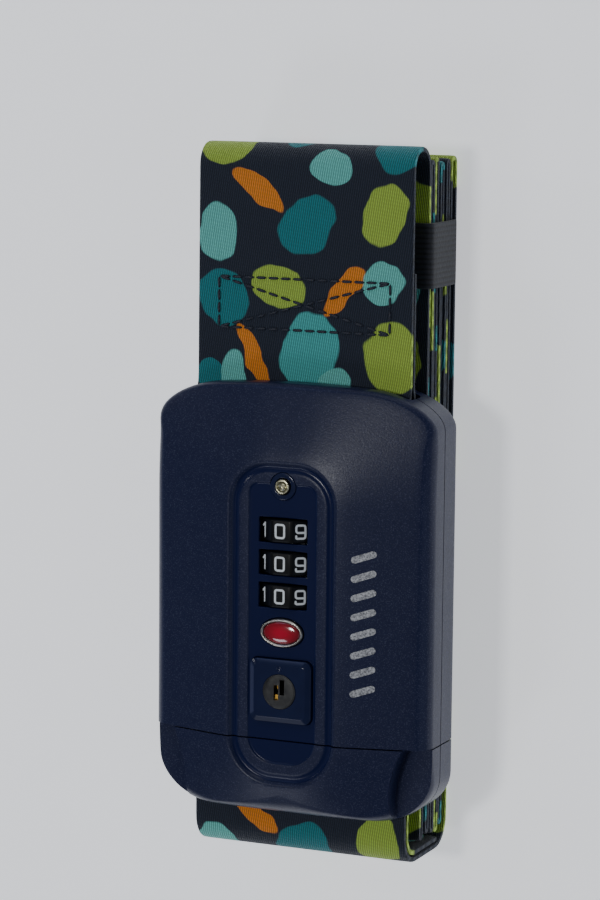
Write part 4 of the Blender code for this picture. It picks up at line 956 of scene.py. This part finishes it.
def thickened(obj, amount, offset):
    """Gives a surface a thickness with Solidify and makes it part of the mesh."""
    step = obj.modifiers.new("thickness", "SOLIDIFY")
    step.thickness = amount
    step.offset = offset
    return shaped(obj, [], 40)


def wheel_rings(y):
    """Rings about the wheel's axis: a ten-sided outline r = flat/cos(a), with its corners turned off, and
    a profile
    across the width."""
    turn = np.linspace(0, 2 * np.pi, 240, endpoint=False)
    step = 2 * np.pi / FACETS
    from_flat = (turn - np.pi / 2 + step / 2) % step - step / 2
    polygon = DIAL_FLAT / np.cos(from_flat)
    limit = DIAL_FLAT / math.cos(step / 2) - 0.12 * MM
    outer = np.minimum(polygon, limit)
    half = DIAL_WIDTH / 2
    profile = rounded_profile([(BORE, -half), (DIAL_FLAT, -half), (DIAL_FLAT, half), (BORE, half)],
                              [0.4 * MM, 0.4 * MM], 5)
    share = np.clip((profile[:, 0] - BORE) / (DIAL_FLAT - BORE), 0, 1)
    radius = BORE + (outer - BORE)[None, :] * share[:, None]
    return np.stack([radius * np.cos(turn), np.broadcast_to(y + profile[:, 1, None], radius.shape),
                     DIAL_Z + radius * np.sin(turn)], -1)


# Acetal: black and waxy smooth, with faint moulding swirl.
acetal, tree, shader = new_material("black_acetal")
place = add_node(tree, "TexCoord").outputs["Object"]
swirl = add_node(tree, "TexNoise", {"Vector": place, "Scale": 900.0, "Detail": 3.0, "Distortion": 0.6})
tone = add_node(tree, "Mix", {0: swirl.outputs["Fac"], 6: linear("#060709"), 7: linear("#0d0f13")},
                data_type="RGBA")
gloss = add_node(tree, "MapRange", {"Value": swirl.outputs["Fac"], "To Min": 0.30, "To Max": 0.46})
bump = add_node(tree, "Bump", {"Height": swirl.outputs["Fac"], "Strength": 0.12, "Distance": 0.03 * MM})
feed(tree, shader, Base_Color=tone.outputs[2], Roughness=gloss.outputs[0], IOR=1.48, Specular_IOR_Level=0.2,
     Normal=bump.outputs[0])

# Filling paint: pale grey, matt, a little uneven where it was wiped.
figure_paint, tree, shader = new_material("pale_grey_filling_paint")
place = add_node(tree, "TexCoord").outputs["Object"]
wiped = add_node(tree, "TexNoise", {"Vector": place, "Scale": 2200.0, "Detail": 3.0})
tone = add_node(tree, "Mix", {0: wiped.outputs["Fac"], 6: linear("#dde4e7"), 7: linear("#f4f8f8")},
                data_type="RGBA")
bump = add_node(tree, "Bump", {"Height": wiped.outputs["Fac"], "Strength": 0.2, "Distance": 0.02 * MM})
feed(tree, shader, Base_Color=tone.outputs[2], Roughness=0.55, Normal=bump.outputs[0])

for number, y in enumerate(DIAL_YS, start=1):
    rings = wheel_rings(y)
    wheel = new_object(f"number_wheel_{number}", rings.reshape(-1, 3),
                       ring_faces(*rings.shape[:2], closed=True), acetal, smooth=24)
    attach(wheel, f"dial_{number}")
    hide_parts(f"dial_{number}")
    parts = []
    for figure, lines in enumerate(FIGURES):
        lean = -figure * 2 * np.pi / FACETS
        for level, (corners, rounded) in enumerate(lines):
            cut = 0.55 * MM if rounded else 0.12 * MM
            corners = np.array(corners) * FIGURE_HALF + (FIGURE_OFFSET, 0)
            line = rounded_profile(corners,
                                   [min(cut, 0.49 * np.linalg.norm(b - a), 0.49 * np.linalg.norm(c - b))
                                             for a, b, c in zip(corners, corners[1:], corners[2:])])
            flat, faces = stroke(line, STROKE)
            up = DIAL_FLAT + (level + 1) * STROKE_STEP
            parts.append((np.column_stack([flat[:, 0] * np.cos(lean) + up * np.sin(lean), y + flat[:, 1],
                                           DIAL_Z - flat[:, 0] * np.sin(lean) + up * np.cos(lean)]), faces))
    points, faces = joined(parts)
    figures = bpy.data.meshes.new(f"wheel_figures_{number}")
    figures.from_pydata(points.tolist(), [], faces)
    figures.materials.append(figure_paint)
    figures = bpy.data.objects.new(f"wheel_figures_{number}", figures)
    bpy.context.scene.collection.objects.link(figures)
    thickened(figures, PAINT, 1.0)
    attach(figures, f"dial_{number}")

# ---------------------------------------------------------------- reset button
# A small nickel-brass pin with a dished end, pressed with a pen to set a new code, in a smooth
# round boss that is moulded in the shell's navy.

boss_hole = 1.85 * MM
boss_profile = rounded_profile([(boss_hole, ROOF_Z), (boss_hole, boss_high.z),
                                (boss_high.x - 0.02 * MM, boss_high.z),
                                (boss_high.x - 0.02 * MM, ROOF_Z)], [0.2 * MM, 0.3 * MM], 6)
rings = turned_rings(boss_profile, (0, RESET_Y), 64)

# Polished ABS: the shell's navy without its texture, with very faint marks.
polished_abs, tree, shader = new_material("polished_navy_abs")
place = add_node(tree, "TexCoord").outputs["Object"]
stretched = add_node(tree, "Mapping", {"Vector": place, "Scale": (1.0, 0.3, 1.0)})
faint = add_node(tree, "TexNoise", {"Vector": stretched.outputs[0], "Scale": 3000.0, "Detail": 2.0})
cloud = add_node(tree, "TexNoise", {"Vector": place, "Scale": 300.0, "Detail": 2.0})
tone = add_node(tree, "Mix", {0: cloud.outputs["Fac"], 6: linear("#131b3a"), 7: linear("#1b2446")},
                data_type="RGBA")
gloss = add_node(tree, "MapRange", {"Value": faint.outputs["Fac"], "To Min": 0.13, "To Max": 0.19})
bump = add_node(tree, "Bump", {"Height": faint.outputs["Fac"], "Strength": 0.015, "Distance": 0.02 * MM})
feed(tree, shader, Base_Color=tone.outputs[2], Roughness=gloss.outputs[0], IOR=1.52,
     Specular_IOR_Level=0.35,
     Normal=bump.outputs[0])

boss = new_object("reset_boss_ring", rings.reshape(-1, 3), ring_faces(*rings.shape[:2], closed=True),
                  polished_abs, smooth=35)
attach(boss, "housing")
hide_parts("reset_boss")

# Brass, turned and lacquered: rings of tool marks 0.12 mm apart, drawn at 0.2 mm.
turned_brass, tree, shader = new_material("turned_brass")
place = add_node(tree, "TexCoord").outputs["Object"]
centred = add_node(tree, "Mapping", {"Vector": place, "Location": (0, -RESET_Y, 0)})
marks = add_node(tree, "TexWave", {"Vector": centred.outputs[0], "Scale": BAND_UNIT / (0.2 * MM)},
                 wave_type="RINGS",
                 rings_direction="Z")
tarnish = add_node(tree, "TexNoise", {"Vector": place, "Scale": 1400.0, "Detail": 3.0})
tone = add_node(tree, "Mix", {0: tarnish.outputs["Fac"], 6: linear("#8d8a6c"), 7: linear("#d6d2b6")},
                data_type="RGBA")
gloss = add_node(tree, "MapRange", {"Value": tarnish.outputs["Fac"], "To Min": 0.18, "To Max": 0.42})
bump = add_node(tree, "Bump", {"Height": marks.outputs["Fac"], "Strength": 0.2, "Distance": 0.02 * MM})
feed(tree, shader, Base_Color=tone.outputs[2], Metallic=1.0, Roughness=gloss.outputs[0],
     Normal=bump.outputs[0])

pin_low, pin_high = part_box("reset_button")
pin_profile = rounded_profile(
    [(pin_high.x - 0.5 * MM, pin_low.z), (pin_high.x, pin_low.z + 0.3 * MM), (pin_high.x, pin_high.z),
     (1.15 * MM, pin_high.z), (0.95 * MM, pin_high.z - 0.45 * MM), (0.5 * MM, pin_high.z - 0.75 * MM),
     (0.02 * MM, pin_high.z - 0.75 * MM)], [0.1 * MM, 0.3 * MM, 0.15 * MM, 0.2 * MM, 0.15 * MM], 6)
pin = skin("reset_pin", turned_rings(pin_profile, (0, RESET_Y), 64), turned_brass, smooth=40)
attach(pin, "reset_button")
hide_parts("reset_button")

# ---------------------------------------------------------------- badge
# A plain oval jewel: red glass enamel fired inside a thin nickel-plated brass rim, pressed into the
# plate from the front.

badge_rx, badge_ry = badge_high.x, badge_high.y - BADGE_Y
RIM = 0.7 * MM


def oval_rings(profile, count=72):
    """Rings of an oval whose half sizes are the badge's less an inset, one for each (inset, height)."""
    return [at_height(oval(0, BADGE_Y, badge_rx - inset, badge_ry - inset, count),
                      height) for inset, height in profile]


rim_profile = rounded_profile([(0, ROOF_Z + GAP), (0, PLATE_Z + 0.5 * MM), (RIM / 2, PLATE_Z + 0.75 * MM),
                               (RIM, PLATE_Z + 0.5 * MM),
                               (RIM, ROOF_Z + GAP)], [0.25 * MM, 0.2 * MM, 0.2 * MM], 5)

# Nickel plate on zinc or brass: a warm pale grey, satin, with rubbed scratches.
nickel_plate, tree, shader = new_material("satin_nickel_plate")
place = add_node(tree, "TexCoord").outputs["Object"]
rubbed = add_node(tree, "TexNoise", {"Vector": place, "Scale": 1800.0, "Detail": 4.0})
streak_place = add_node(tree, "Mapping",
                        {"Vector": place, "Scale": (1.0, 0.06, 1.0), "Rotation": (0, 0, -0.5)})
streaks = add_node(tree, "TexNoise", {"Vector": streak_place.outputs[0], "Scale": 4500.0, "Detail": 1.0})
tone = add_node(tree, "Mix", {0: rubbed.outputs["Fac"], 6: linear("#8f8d86"), 7: linear("#c4c2ba")},
                data_type="RGBA")
gloss = add_node(tree, "MapRange", {"Value": rubbed.outputs["Fac"], "To Min": 0.2, "To Max": 0.42})
bump = add_node(tree, "Bump", {"Height": streaks.outputs["Fac"], "Strength": 0.1, "Distance": 0.02 * MM})
feed(tree, shader, Base_Color=tone.outputs[2], Metallic=1.0, Roughness=gloss.outputs[0],
     Normal=bump.outputs[0])

rings = np.array(oval_rings(rim_profile))
rim = new_object("badge_plated_rim", rings.reshape(-1, 3), ring_faces(*rings.shape[:2], closed=True),
                 nickel_plate, smooth=35)
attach(rim, "housing")
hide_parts("badge_rim")

# Red enamel: glassy under a hard coat, with fine flecks; its red darkens towards the oval's edge, as painted
# shade where the dome curves down into the rim.
glass_enamel, tree, shader = new_material("red_glass_enamel")
place = add_node(tree, "TexCoord").outputs["Object"]
centred = add_node(tree, "Mapping", {"Vector": place, "Location": (0, -BADGE_Y / badge_ry, 0),
                                     "Scale": (1 / badge_rx, 1 / badge_ry, 0)})
# Painted shade: the red darkens with the distance from the badge's middle, towards the rim.
spread = add_node(tree, "VectorMath", {0: centred.outputs[0]}, operation="LENGTH")
flecks = add_node(tree, "TexNoise", {"Vector": place, "Scale": 2600.0, "Detail": 2.0})
depth = add_node(tree, "Math", {0: flecks.outputs["Fac"], 1: 0.35, 2: spread.outputs["Value"]},
                 operation="MULTIPLY_ADD")
shade = add_node(tree, "ValToRGB", {"Fac": depth.outputs[0]})
shade.color_ramp.elements[0].color = linear("#c21030")
shade.color_ramp.elements[0].position = 0.35
shade.color_ramp.elements[1].color = linear("#7c0a1c")
shade.color_ramp.elements[1].position = 1.0
feed(tree, shader, Base_Color=shade.outputs["Color"], Roughness=0.12, IOR=1.54, Coat_Weight=0.6,
     Coat_Roughness=0.03)

dome = np.linspace(0, np.pi / 2, 9)
lens_edge = RIM + 0.06 * MM
DOME_LOW, DOME_RISE = 0.3 * MM, 0.55 * MM
jewel_rings = oval_rings([(lens_edge, ROOF_Z + GAP), (lens_edge, PLATE_Z + DOME_LOW)])
jewel_edge = jewel_rings[1][:, :2] - (0, BADGE_Y)
jewel_rings += [at_height((0, BADGE_Y) + jewel_edge * math.cos(t),
                          PLATE_Z + DOME_LOW + DOME_RISE * math.sin(t))
                for t in dome[1:-1]]
jewel_rings.append(at_height((0, BADGE_Y) + jewel_edge * 0.02, PLATE_Z + DOME_LOW + DOME_RISE))
jewel = skin("badge_jewel", jewel_rings, glass_enamel, smooth=35)
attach(jewel, "housing")
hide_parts("badge_lens")

# ---------------------------------------------------------------- release button
# Square button moulded in polished navy ABS with a wide flange under the cover, a bevel round its
# top, a small index dimple and a bore that the key cylinder is pressed into.

BEVEL_IN, BEVEL_DOWN = 1.15 * MM, 0.6 * MM
FLANGE = 0.8 * MM
CYLINDER_RADIUS = 3.8 * MM
BUTTON_Z = button_high.z
DIMPLE_RADIUS = 0.95 * MM
DIMPLE_RISE = 0.6 * MM            # its ball's centre above the face


def button_plan(grow, corner):
    return rounded_outline(0, BUTTON_Y, BUTTON_ACROSS / 2 + grow, BUTTON_ALONG / 2 + grow, corner, 10)


flange_low = button_low.z
flange_high = flange_low + 1.6 * MM
button_profile = rounded_profile([(FLANGE, flange_low), (FLANGE, flange_high), (0, flange_high),
                                  (0, BUTTON_Z - BEVEL_DOWN),
                                  (-BEVEL_IN, BUTTON_Z - 0.05 * MM), (-2.8 * MM, BUTTON_Z - 0.05 * MM)],
                                 [0.2 * MM, 0.1 * MM, 0.12 * MM, 0.05 * MM], 6)
rings = [at_height(button_plan(grow, max(1.6 * MM + grow * 0.5, 0.4 * MM)), height)
         for grow, height in button_profile]
bore_profile = [(CYLINDER_RADIUS + 0.03 * MM, flange_low - MM),
                (CYLINDER_RADIUS + 0.03 * MM, BUTTON_Z - 0.25 * MM),
                (CYLINDER_RADIUS + 0.2 * MM, BUTTON_Z + MM)]
bore = skin("bore", turned_rings(bore_profile, (0, BUTTON_Y), 72))
ball = np.radians(np.linspace(-88, 88, 13))
ball_profile = np.column_stack([DIMPLE_RADIUS * np.cos(ball),
                                BUTTON_Z + DIMPLE_RISE + DIMPLE_RADIUS * np.sin(ball)])
dimple = skin("dimple", turned_rings(ball_profile, (0, BUTTON_Y + 5.0 * MM), 40))
button = shaped(skin("square_release_button", rings, polished_abs), [bore, dimple], 30)
remove([bore, dimple])
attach(button, "release_button")
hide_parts("release_button")

# ---------------------------------------------------------------- key cylinder
# Zinc casting with dull nickel plate: a sleeve fixed in the button and the plug that the key turns,
# with a stepped keyway and brass wafers across it.

sleeve_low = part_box("cylinder_sleeve")[0]
plug_low, plug_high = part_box("key_plug")
PLUG_RADIUS = 3.5 * MM
FACE_Z = BUTTON_Z + 0.1 * MM
sleeve_profile = rounded_profile([(PLUG_RADIUS + 0.02 * MM, sleeve_low.z),
                                  (PLUG_RADIUS + 0.02 * MM, FACE_Z),
                                  (CYLINDER_RADIUS, FACE_Z), (CYLINDER_RADIUS, sleeve_low.z)],
                                 [0.04 * MM, 0.14 * MM], 6)

# Dull nickel on cast zinc: darker than the badge's rim, grey-brown, with faint turning marks.
dull_nickel, tree, shader = new_material("dull_nickel_on_zinc")
place = add_node(tree, "TexCoord").outputs["Object"]
centred = add_node(tree, "Mapping", {"Vector": place, "Location": (0, -BUTTON_Y, 0)})
marks = add_node(tree, "TexWave",
                 {"Vector": centred.outputs[0], "Scale": BAND_UNIT / (0.25 * MM), "Distortion": 0.4},
                 wave_type="RINGS", rings_direction="Z")
patina = add_node(tree, "TexNoise", {"Vector": place, "Scale": 900.0, "Detail": 5.0})
tone = add_node(tree, "Mix", {0: patina.outputs["Fac"], 6: linear("#2e2f33"), 7: linear("#50504e")},
                data_type="RGBA")
gloss = add_node(tree, "MapRange", {"Value": patina.outputs["Fac"], "To Min": 0.28, "To Max": 0.5})
bump = add_node(tree, "Bump", {"Height": marks.outputs["Fac"], "Strength": 0.12, "Distance": 0.02 * MM})
feed(tree, shader, Base_Color=tone.outputs[2], Metallic=1.0, Roughness=gloss.outputs[0],
     Normal=bump.outputs[0])

rings = turned_rings(sleeve_profile, (0, BUTTON_Y), 72)
sleeve = new_object("plated_sleeve", rings.reshape(-1, 3), ring_faces(*rings.shape[:2], closed=True),
                    dull_nickel, smooth=35)
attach(sleeve, "release_button")
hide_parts("cylinder_sleeve")

STUB = 1.5 * MM
SLOT_WIDTH = 1.05 * MM
SLOT_LENGTH = 3.3 * MM
SLOT_DEPTH = 8 * MM
SLOT_OFFSET = 0.7 * MM
plug_profile = rounded_profile([(STUB, plug_low.z), (STUB, sleeve_low.z), (PLUG_RADIUS, sleeve_low.z),
                                (PLUG_RADIUS, FACE_Z),
                                (PLUG_RADIUS - MM, FACE_Z)], [0.1 * MM, 0.1 * MM, 0.05 * MM], 5)
slots = []
for side in (-1, 1):
    x, y = side * SLOT_OFFSET, BUTTON_Y + (0.4 + side * 0.6) * MM
    slots.append(block(f"keyway_{side}", (x - SLOT_WIDTH / 2, y - SLOT_LENGTH / 2, BUTTON_Z - SLOT_DEPTH),
                       (x + SLOT_WIDTH / 2, y + SLOT_LENGTH / 2, plug_high.z + MM)))
plug = shaped(skin("plated_plug", turned_rings(plug_profile, (0, BUTTON_Y), 72), dull_nickel), slots, 35)
remove(slots)
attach(plug, "key_plug")
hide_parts("key_plug")

# Stamped brass: bare and warm, with a fine rolled grain.
stamped_brass, tree, shader = new_material("stamped_brass")
place = add_node(tree, "TexCoord").outputs["Object"]
rolled = add_node(tree, "Mapping", {"Vector": place, "Scale": (1.0, 0.1, 1.0)})
grain = add_node(tree, "TexNoise", {"Vector": rolled.outputs[0], "Scale": 5000.0, "Detail": 2.0})
tone = add_node(tree, "Mix", {0: grain.outputs["Fac"], 6: linear("#b5852f"), 7: linear("#eec063")},
                data_type="RGBA")
gloss = add_node(tree, "MapRange", {"Value": grain.outputs["Fac"], "To Min": 0.3, "To Max": 0.5})
bump = add_node(tree, "Bump", {"Height": grain.outputs["Fac"], "Strength": 0.15, "Distance": 0.02 * MM})
feed(tree, shader, Base_Color=tone.outputs[2], Metallic=1.0, Roughness=gloss.outputs[0],
     Normal=bump.outputs[0])

WAFERS = 4
WAFER_THICK = 0.45 * MM
WAFER_PITCH = 0.9 * MM
FIRST_WAFER = 0.55 * MM           # below the plug's face
for i in range(WAFERS):
    top_z = FACE_Z - FIRST_WAFER - i * WAFER_PITCH
    under_z = top_z - WAFER_THICK
    x = -SLOT_OFFSET
    y = BUTTON_Y - 0.2 * MM + (1 if i % 2 else -1) * 1.05 * MM
    plan = rounded_outline(x, y, SLOT_WIDTH / 2 - 0.03 * MM, 0.52 * MM, 0.15 * MM, 4)
    profile = rounded_profile([(0.1 * MM, under_z), (0, under_z), (0, top_z), (0.12 * MM, top_z)],
                              [0.06 * MM, 0.08 * MM], 4)
    rings = [at_height((x, y) + (plan - (x, y)) * (1 - inset / MM), height) for inset, height in profile]
    wafer = skin(f"brass_wafer_{i + 1}", rings, stamped_brass, smooth=35)
    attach(wafer, "key_plug")

# ---------------------------------------------------------------- printed mark
# Eight plain slanted dashes pad-printed in silver ink on the slope beside the lock, as decoration.
# The ink is laid on the cover's face, so each dash is pressed onto that surface.

INK = 0.03 * MM
MARK_X, MARK_Y = 18.6 * MM, -23 * MM
DASHES = 8
DASH_PITCH = 4.15 * MM
DASH_HALF = np.array([1.95, 0.65]) * MM
DASH_WIDTH = 1.5 * MM
parts = []
for i in range(DASHES):
    share = np.linspace(-1, 1, 9)[:, None]
    line = np.array([MARK_X, MARK_Y + (i - (DASHES - 1) / 2) * DASH_PITCH]) + share * DASH_HALF
    flat, faces = stroke(line, DASH_WIDTH)
    parts.append((at_height(flat, CREST_Z + MM), faces))
points, faces = joined(parts)

# Silver pad-print ink: fine aluminium pigment, satin, thinner in places.
silver_ink, tree, shader = new_material("silver_pad_print_ink")
place = add_node(tree, "TexCoord").outputs["Object"]
pigment = add_node(tree, "TexNoise", {"Vector": place, "Scale": 2600.0, "Detail": 3.0, "Roughness": 0.7})
speckle = add_node(tree, "MapRange", {"Value": pigment.outputs["Fac"], "From Min": 0.36, "From Max": 0.64})
tone = add_node(tree, "Mix", {0: speckle.outputs[0], 6: linear("#62646a"), 7: linear("#c4c6ca")},
                data_type="RGBA")
gloss = add_node(tree, "MapRange", {"Value": pigment.outputs["Fac"], "To Min": 0.35, "To Max": 0.6})
bump = add_node(tree, "Bump", {"Height": pigment.outputs["Fac"], "Strength": 0.25, "Distance": 0.03 * MM})
feed(tree, shader, Base_Color=tone.outputs[2], Metallic=0.6, Roughness=gloss.outputs[0],
     Normal=bump.outputs[0])

mark_mesh = bpy.data.meshes.new("silver_dashes")
mark_mesh.from_pydata(points.tolist(), [], faces)
mark_mesh.materials.append(silver_ink)
mark = bpy.data.objects.new("silver_dashes", mark_mesh)
bpy.context.scene.collection.objects.link(mark)
press = mark.modifiers.new("press", "SHRINKWRAP")
press.wrap_method = "PROJECT"
press.use_project_z = True
press.use_negative_direction = True
press.use_positive_direction = False
press.target = covers["front_cover"]
press.offset = 0.01 * MM
thickened(mark, INK, 1.0)
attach(mark, "housing")

# ---------------------------------------------------------------- metalwork inside
# Pressed and turned steel: the chassis, shaft, leaf spring, latches, bars, clips and screws keep
# their CAD shapes, with finishes for zinc-plated sheet, bright steel and brass sleeves.

# Zinc-plated steel: cool grey with a faint spangle.
zinc_plate, tree, shader = new_material("zinc_plated_steel")
place = add_node(tree, "TexCoord").outputs["Object"]
spangle = add_node(tree, "TexVoronoi", {"Vector": place, "Scale": 450.0})
cloud = add_node(tree, "TexNoise", {"Vector": place, "Scale": 1200.0, "Detail": 3.0})
tone = add_node(tree, "Mix", {0: spangle.outputs["Distance"], 6: linear("#8a8d92"), 7: linear("#b9bcc0")},
                data_type="RGBA")
gloss = add_node(tree, "MapRange", {"Value": cloud.outputs["Fac"], "To Min": 0.25, "To Max": 0.5})
bump = add_node(tree, "Bump", {"Height": cloud.outputs["Fac"], "Strength": 0.15, "Distance": 0.04 * MM})
feed(tree, shader, Base_Color=tone.outputs[2], Metallic=1.0, Roughness=gloss.outputs[0],
     Normal=bump.outputs[0])

# Bright steel: drawn or ground along X, with fine lines.
bright_steel, tree, shader = new_material("ground_bright_steel")
place = add_node(tree, "TexCoord").outputs["Object"]
drawn = add_node(tree, "Mapping", {"Vector": place, "Scale": (0.05, 1.0, 1.0)})
lines = add_node(tree, "TexNoise", {"Vector": drawn.outputs[0], "Scale": 4000.0, "Detail": 2.0})
tone = add_node(tree, "Mix", {0: lines.outputs["Fac"], 6: linear("#9fa2a6"), 7: linear("#cfd1d3")},
                data_type="RGBA")
gloss = add_node(tree, "MapRange", {"Value": lines.outputs["Fac"], "To Min": 0.18, "To Max": 0.36})
bump = add_node(tree, "Bump", {"Height": lines.outputs["Fac"], "Strength": 0.15, "Distance": 0.02 * MM})
feed(tree, shader, Base_Color=tone.outputs[2], Metallic=1.0, Roughness=gloss.outputs[0],
     Normal=bump.outputs[0])

FINISHES = {
    zinc_plate: ["lock_chassis", "latch_left", "latch_right", "tongue_plate", "plug_cam", "plug_clip"],
    bright_steel: ["dial_shaft", "detent_spring", "housing_bar", "tongue_bar", "cover_screw_1",
                   "cover_screw_2",
                   "cover_screw_3", "cover_screw_4", "tongue_screw_1", "tongue_screw_2"],
    turned_brass: ["dial_clutch_1", "dial_clutch_2", "dial_clutch_3"],
}
for finish, names in FINISHES.items():
    for name in names:
        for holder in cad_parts[name].material_slots:
            holder.material = finish

# ---------------------------------------------------------------- coil springs
# Three springs coiled from bright steel wire, in the CAD's shape with its doubles merged. In the buckle the
# button and the reset pin press them shorter, against a seat at their lower end; here they keep the CAD's
# length.

SPRING_TRAVEL = {"reset_spring": ("reset_press", 1.2 * MM),
                 "button_spring_left": ("button_press", 2.0 * MM),
                 "button_spring_right": ("button_press", 2.0 * MM)}
for name, (joint, travel) in SPRING_TRAVEL.items():
    low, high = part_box(name)
    work = bmesh.new()
    work.from_mesh(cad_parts[name].data)
    bmesh.ops.remove_doubles(work, verts=work.verts, dist=MM / 1000)
    work.verts.index_update()
    points = [tuple(vertex.co) for vertex in work.verts]
    faces = [[vertex.index for vertex in face.verts] for face in work.faces]
    work.free()
    coil = new_object(name.replace("spring", "coil"), points, faces, bright_steel, smooth=50)
    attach(coil, "housing")
    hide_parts(name)
    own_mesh(coil)
